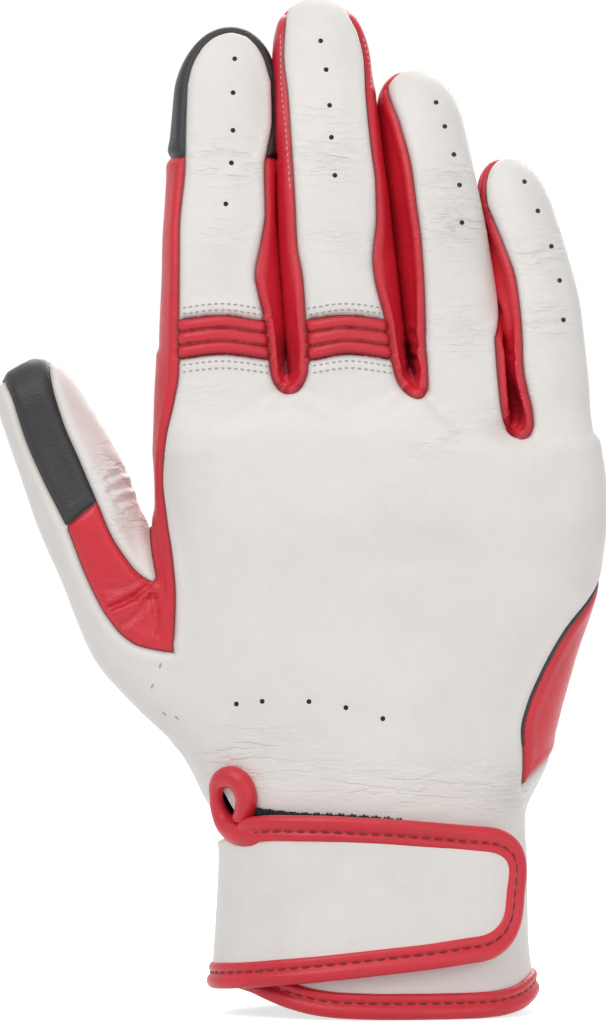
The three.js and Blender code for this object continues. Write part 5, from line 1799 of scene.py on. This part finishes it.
def make_tapes():
    columns, rows = TAPE_GRID
    v = np.linspace(*CLOSURE, columns)
    share = np.linspace(0, 1, rows)[:, None]
    along = v + TAPE_SHIFT
    low, high = strap_low(along) + STRAP_EDGE + 1, strap_high(along) - STRAP_EDGE - 1
    z = low + share * (high - low)
    hooks = TAPE_HOOKS * np.sin(v * HOOK_WAVES[0]) * np.sin(z * HOOK_WAVES[1])
    fuzz = TAPE_FUZZ * np.sin(v * LOOP_WAVES[0] + 2 * np.sin(z)) * np.sin(z * LOOP_WAVES[1] + v)
    for name, body, node, base, face, back in (
        ("loop_tape", "hand", "cuff_loop_pad", LAYER_GAP, fuzz, 0),
        ("hook_tape", "strap", "strap_hook_pad", 2 * LAYER_GAP + TAPE_WALL, 0, hooks - TAPE_SINK),
    ):
        outer = cuff_point(z, v, base + TAPE_WALL - TAPE_HOOKS + face)
        inner = cuff_point(z, v, base + back)
        finish_piece(make(name, *slab(outer, inner), TAPE), body, "tape", node)

    columns, rows = ELASTIC["grid"]
    v = np.linspace(*ELASTIC["turn"], columns)
    z = np.linspace(*ELASTIC["z"], rows)[:, None]
    ribs = ELASTIC["rib"] * np.sin(np.radians(v) * ELASTIC["ribs"])
    inset = -(LEATHER_WALL + LAYER_GAP + ELASTIC["inset"])
    elastic = slab(cuff_point(z, v, inset + ribs), cuff_point(z, v, inset - TAPE_WALL - ribs))
    finish_piece(make("elastic_tape", *elastic, TAPE), "hand", "tape", "wrist_elastic")


def make_pad():
    """Soft pad under the back of the hand, thinner towards its edges."""
    start, end = CUSHION["turn"]
    columns, rows = CUSHION["grid"]
    v = np.linspace(start, end, columns)
    share = np.linspace(0, 1, rows)[:, None]
    across = np.clip((v - start) / (end - start), 0, 1)
    z = CUSHION["low"] + share * (CUSHION["height"] - CUSHION["slope"] * ease(2 * across - 1))
    square = CUSHION["square"]
    crown = (1 - (2 * across - 1) ** square) * (1 - (2 * share - 1) ** square)
    top = CUSHION["top"]
    bottom = top - CUSHION["edge"] - CUSHION["crown"] * crown
    pad = make("knuckle_cushion", *slab(cuff_point(z, v, top), cuff_point(z, v, bottom)), FOAM)
    finish_piece(pad, "hand", "pad", "knuckle_pad")


def make_patch(front):
    """Second layer of leather on the heel of the palm, sewn round its edge."""
    columns, rows = PATCH["grid"]
    (x0, x1), (z0, z1) = PATCH["x"], PATCH["z"]
    corner, square = PATCH["corner"], PATCH["square"]
    groove, groove_at, groove_half = PATCH_SEAM
    grid = np.empty((rows, columns, 3))
    under = np.empty((rows, columns, 3))
    for i, b in enumerate(np.linspace(-1, 1, rows)):
        for j, a in enumerate(np.linspace(-1, 1, columns)):
            squeeze = math.sqrt(1 - 0.5 * abs(b) ** square * (2 * corner / (x1 - x0)))
            lift = math.sqrt(1 - 0.5 * abs(a) ** square * (2 * corner / (z1 - z0)))
            x = (x0 + x1) / 2 + a * squeeze * (x1 - x0) / 2
            z = (z0 + z1) / 2 + b * lift * (z1 - z0) / 2
            place, normal = front.at(column_of(x), row_of(z), side=1)
            edge = max(abs(a), abs(b))
            rise = PATCH["rise"] * (1 - ease((edge - PATCH_EDGE[0]) / PATCH_EDGE[1])) + PATCH["least"]
            seam = groove * math.exp(-(((edge - groove_at) / groove_half) ** 2))
            grid[i, j] = place + (rise - seam) * normal
            under[i, j] = place - PATCH["sunk"] * normal
    patch = make("palm_heel_patch", *slab(grid, under), WHITE)
    finish_piece(patch, "hand", "leather_white", "palm_patch")
    first, last_row, last_column = PATCH_STITCHES, rows - 1 - PATCH_STITCHES, columns - 1 - PATCH_STITCHES
    inner = [(first, j) for j in range(first, last_column + 1)]
    inner += [(i, last_column) for i in range(first + 1, last_row)]
    inner += [(last_row, j) for j in reversed(range(first, last_column + 1))]
    inner += [(i, first) for i in reversed(range(first, last_row))]
    loop = np.array([grid[i, j] for i, j in inner])
    outs = np.tile([0.0, 1.0, 0.0], (len(loop), 1))
    stitches = make("patch_stitches", *capsules(loop + STITCH_LIFT * outs, outs, *PATCH_THREAD), GREY_THREAD)
    finish_piece(stitches, "hand", "tape")


def make_fuzz_and_gap_shadow():
    """Dark strip above the strap: frayed loop cloth, and painted shadow of the gap under the strap's upper
    edge.
    """
    column = np.arange(FUZZ[0][0], FUZZ[-1][0], FUZZ_STEP)
    least, more, begin, span = FUZZ_FRAY
    frayed = least + more * ease((column - begin) / span)
    first, second, height, slow = FUZZ_TUFTS
    tufts = np.sin(column * first) * np.sin(column * second + 1) + height * np.sin(column * slow)
    top = on_curve(FUZZ, column) + frayed * tufts
    share = np.linspace(0, 1, FUZZ_ROWS)[:, None]
    row = FUZZ_FOOT + share * (top - FUZZ_FOOT)
    x, z = np.broadcast_arrays(x_of(column), z_of(row))
    (height, wave, lean), (other_height, other_wave) = FUZZ_ROUGH
    rough = height * np.sin(column * wave + lean * share)
    rough = rough + other_height * np.sin(row * other_wave + column)
    y = back_of_hand(x, z)
    outer = np.stack([x, y - FUZZ_WALL[0] - rough, z], -1)
    inner = np.stack([x, y - FUZZ_WALL[1], z], -1)
    # Dark cloth that also paints the shadow under the strap's upper edge
    finish_piece(make("loop_fuzz_and_gap_shadow", *slab(outer, inner), TAPE), "hand", "tape")


def sew(front, rows, count, lift, thread):
    """Stitches along rows of pixels, a little above the skin."""
    parts = []
    for row in rows:
        path, outs = front.path(row, count)
        parts.append(capsules(path + lift * outs, outs, *thread))
    return join(parts)


def make_stitches(front, walls):
    for name, rows in STITCH_ROWS.items():
        sewn_rows = sew(front, rows, ROW_POINTS, STITCH_LIFT, STRETCH_THREAD)
        piece = face_out(make(name + "_stitches", *sewn_rows, GREY_THREAD))
        attach(piece, 1 + 2 * FINGER_NAMES.index(name))
    sewn_rows = sew(walls, WALL_STITCHES, ROW_POINTS, WALL_LIFT, WALL_THREAD)
    piece = face_out(make("wall_stitches", *sewn_rows, PALE_THREAD))
    attach(piece, 2 + 2 * FINGER_NAMES.index("middle"))
    sewn_rows = sew(front, ROOT_STITCHES, ROOT_POINTS, ROOT_LIFT, ROOT_THREAD)
    finish_piece(make("root_stitches", *sewn_rows, GREY_THREAD), "hand", "tape")


def make_vents(front):
    """Punched holes, dished, as dark discs: the dark lining inside them with painted shade."""
    sides, dish = VENT_SIDES, VENT_DISH
    for name, holes in VENTS.items():
        points, faces = [], []
        for column, row in holes:
            first = len(points)
            for share, lift in dish:
                for k in range(sides):
                    turn = 2 * math.pi * k / sides
                    reach = share * VENT_RADIUS / PIXEL
                    place, normal = front.at(column + reach * math.cos(turn), row + reach * math.sin(turn))
                    points.append(place + lift * normal)
            faces += tube_faces(first, len(dish), sides)
            faces.append([first + (len(dish) - 1) * sides + k for k in range(sides)])
        piece = make(name + "_vents", np.array(points), faces, HOLE)
        attach(piece, 0 if name == "hand" else 2 + 2 * FINGER_NAMES.index(name))


LINING_INSET = 2.1
LINING_TOP = 138.0


def make_lining(points, triangles, owner, code):
    """Cloth inside the hand, a little way in from the leather."""
    mine = (code % SEGMENTS == 0) & (points[triangles][:, :, 2].max(1) < LINING_TOP)
    used, faces = np.unique(triangles[mine], return_inverse=True)
    slope = gradient(points[used], owner[used])
    inward = points[used] - LINING_INSET * unit(slope)
    piece = make("lining_cloth", inward, faces.reshape(-1, 3)[:, ::-1], LINING)
    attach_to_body(piece, "hand")
    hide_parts("hand_lining")


# Stage
def area_light(name, place, target, size, power):
    light = bpy.data.lights.new(name, "AREA")
    light.energy = power
    light.size = size
    lamp = bpy.data.objects.new(name, light)
    lamp.location = place
    lamp.rotation_euler = (Vector(target) - Vector(place)).to_track_quat("-Z", "Y").to_euler()
    bpy.context.scene.collection.objects.link(lamp)


# In metres: the camera, and the plane of the back of the hand that the photograph's scale holds for
CAMERA_DISTANCE = 1.5
BACK_PLANE = -0.024
SENSOR = 36.0
SKY = (0.97, 0.985, 1.0, 1.0)
SKY_STRENGTH = 0.47
PAPER = 0.8
PAPER_GLOW = 0.72
FLOOR_HALF = 3000
LIGHTS = [  # name, place, target, size and power
    ("key", (-0.5, -0.9, 1.05), (0, 0, 0.14), 0.8, 6.8),
    ("fill", (0.6, -0.95, 0.4), (0, 0, 0.12), 0.9, 2.6),
    ("top", (0.0, -0.2, 1.3), (0, 0, 0.2), 0.7, 1.8),
    ("rim", (0.15, 0.8, 0.7), (0, 0, 0.12), 0.8, 6.0),
]


def set_stage():
    scene = bpy.context.scene
    scene.view_settings.view_transform = "Standard"
    camera_data = bpy.data.cameras.new("camera")
    camera_data.sensor_width = SENSOR
    camera_data.lens = SENSOR * CAMERA_DISTANCE / (PHOTO_SIZE[1] * PIXEL * MM)
    camera = bpy.data.objects.new("camera", camera_data)
    x = (PHOTO_SIZE[0] / 2 - ZERO_COLUMN) * PIXEL * MM
    z = (HEM_ROW - PHOTO_SIZE[1] / 2) * PIXEL * MM
    camera.location = (x, BACK_PLANE - CAMERA_DISTANCE, z)
    camera.rotation_euler = (math.pi / 2, 0, 0)
    scene.collection.objects.link(camera)
    scene.camera = camera

    world = bpy.data.worlds.new("studio")
    world.use_nodes = True
    tree = world.node_tree
    ambient = tree.nodes["Background"]
    ambient.inputs["Color"].default_value = SKY
    ambient.inputs["Strength"].default_value = SKY_STRENGTH
    backdrop = add_node(tree, "ShaderNodeBackground", Color=grey(1.0), Strength=1.0)
    tree.links.new(seen_directly(tree), add_mix(tree, ambient, backdrop, tree.nodes["World Output"]))
    scene.world = world

    floor_material = bpy.data.materials.new("floor_paper")
    floor_material.use_nodes = True
    tree = floor_material.node_tree
    tree.nodes.remove(tree.nodes["Principled BSDF"])
    paper = add_node(tree, "ShaderNodeBsdfDiffuse", Color=grey(PAPER))
    glow = add_node(tree, "ShaderNodeEmission", Color=grey(1.0), Strength=PAPER_GLOW)
    lit = tree.nodes.new("ShaderNodeAddShader")
    tree.links.new(paper.outputs["BSDF"], lit.inputs[0])
    tree.links.new(glow.outputs["Emission"], lit.inputs[1])
    tree.links.new(seen_directly(tree), add_mix(tree, paper, lit, tree.nodes["Material Output"]))
    corners = [(FLOOR_HALF * x, FLOOR_HALF * y, 0) for x, y in ((-1, -1), (1, -1), (1, 1), (-1, 1))]
    floor = make("floor", corners, [(0, 1, 2, 3)], floor_material)

    for light in LIGHTS:
        area_light(*light)


def seen_directly(tree):
    """1 for rays from the camera and for mirrored or refracted ones."""
    path = tree.nodes.new("ShaderNodeLightPath")
    total = path.outputs["Is Camera Ray"]
    for name in ("Is Glossy Ray", "Is Transmission Ray"):
        highest = add_node(tree, "ShaderNodeMath", operation="MAXIMUM")
        tree.links.new(total, highest.inputs[0])
        tree.links.new(path.outputs[name], highest.inputs[1])
        total = highest.outputs["Value"]
    return total


def add_mix(tree, first, second, output):
    """Mixes two shaders into the output and gives the factor's socket."""
    mix = tree.nodes.new("ShaderNodeMixShader")
    tree.links.new(first.outputs[0], mix.inputs[1])
    tree.links.new(second.outputs[0], mix.inputs[2])
    tree.links.new(mix.outputs[0], output.inputs["Surface"])
    return mix.inputs["Fac"]


set_stage()
skin = cut_panels(*mesh_skin())
for fine_reach, fine_edge in FINE_STEPS:
    skin = refine(*skin, fine_reach, fine_edge)
skin_points, skin_triangles, skin_owner, skin_code = skin
skin_points = settle(skin_points, skin_owner)
make_lining(skin_points, skin_triangles, skin_owner, skin_code)
skin_points, skin_painted_shade, skin_fold = relief(skin_points, skin_triangles, skin_owner, skin_code)
dress(skin_points, skin_triangles, skin_code, skin_painted_shade, skin_fold)
skin_front = Front(skin_points, skin_triangles)
make_strap()
make_hem()
make_curl()
make_piping(skin_points, skin_triangles, skin_owner, skin_code)
make_slit_edges()
make_tapes()
make_pad()
make_patch(skin_front)
middle_faces = skin_owner[skin_triangles[:, 0]] == FINGER_NAMES.index("middle")
make_stitches(skin_front, Front(skin_points, skin_triangles[middle_faces]))
make_fuzz_and_gap_shadow()
make_vents(skin_front)
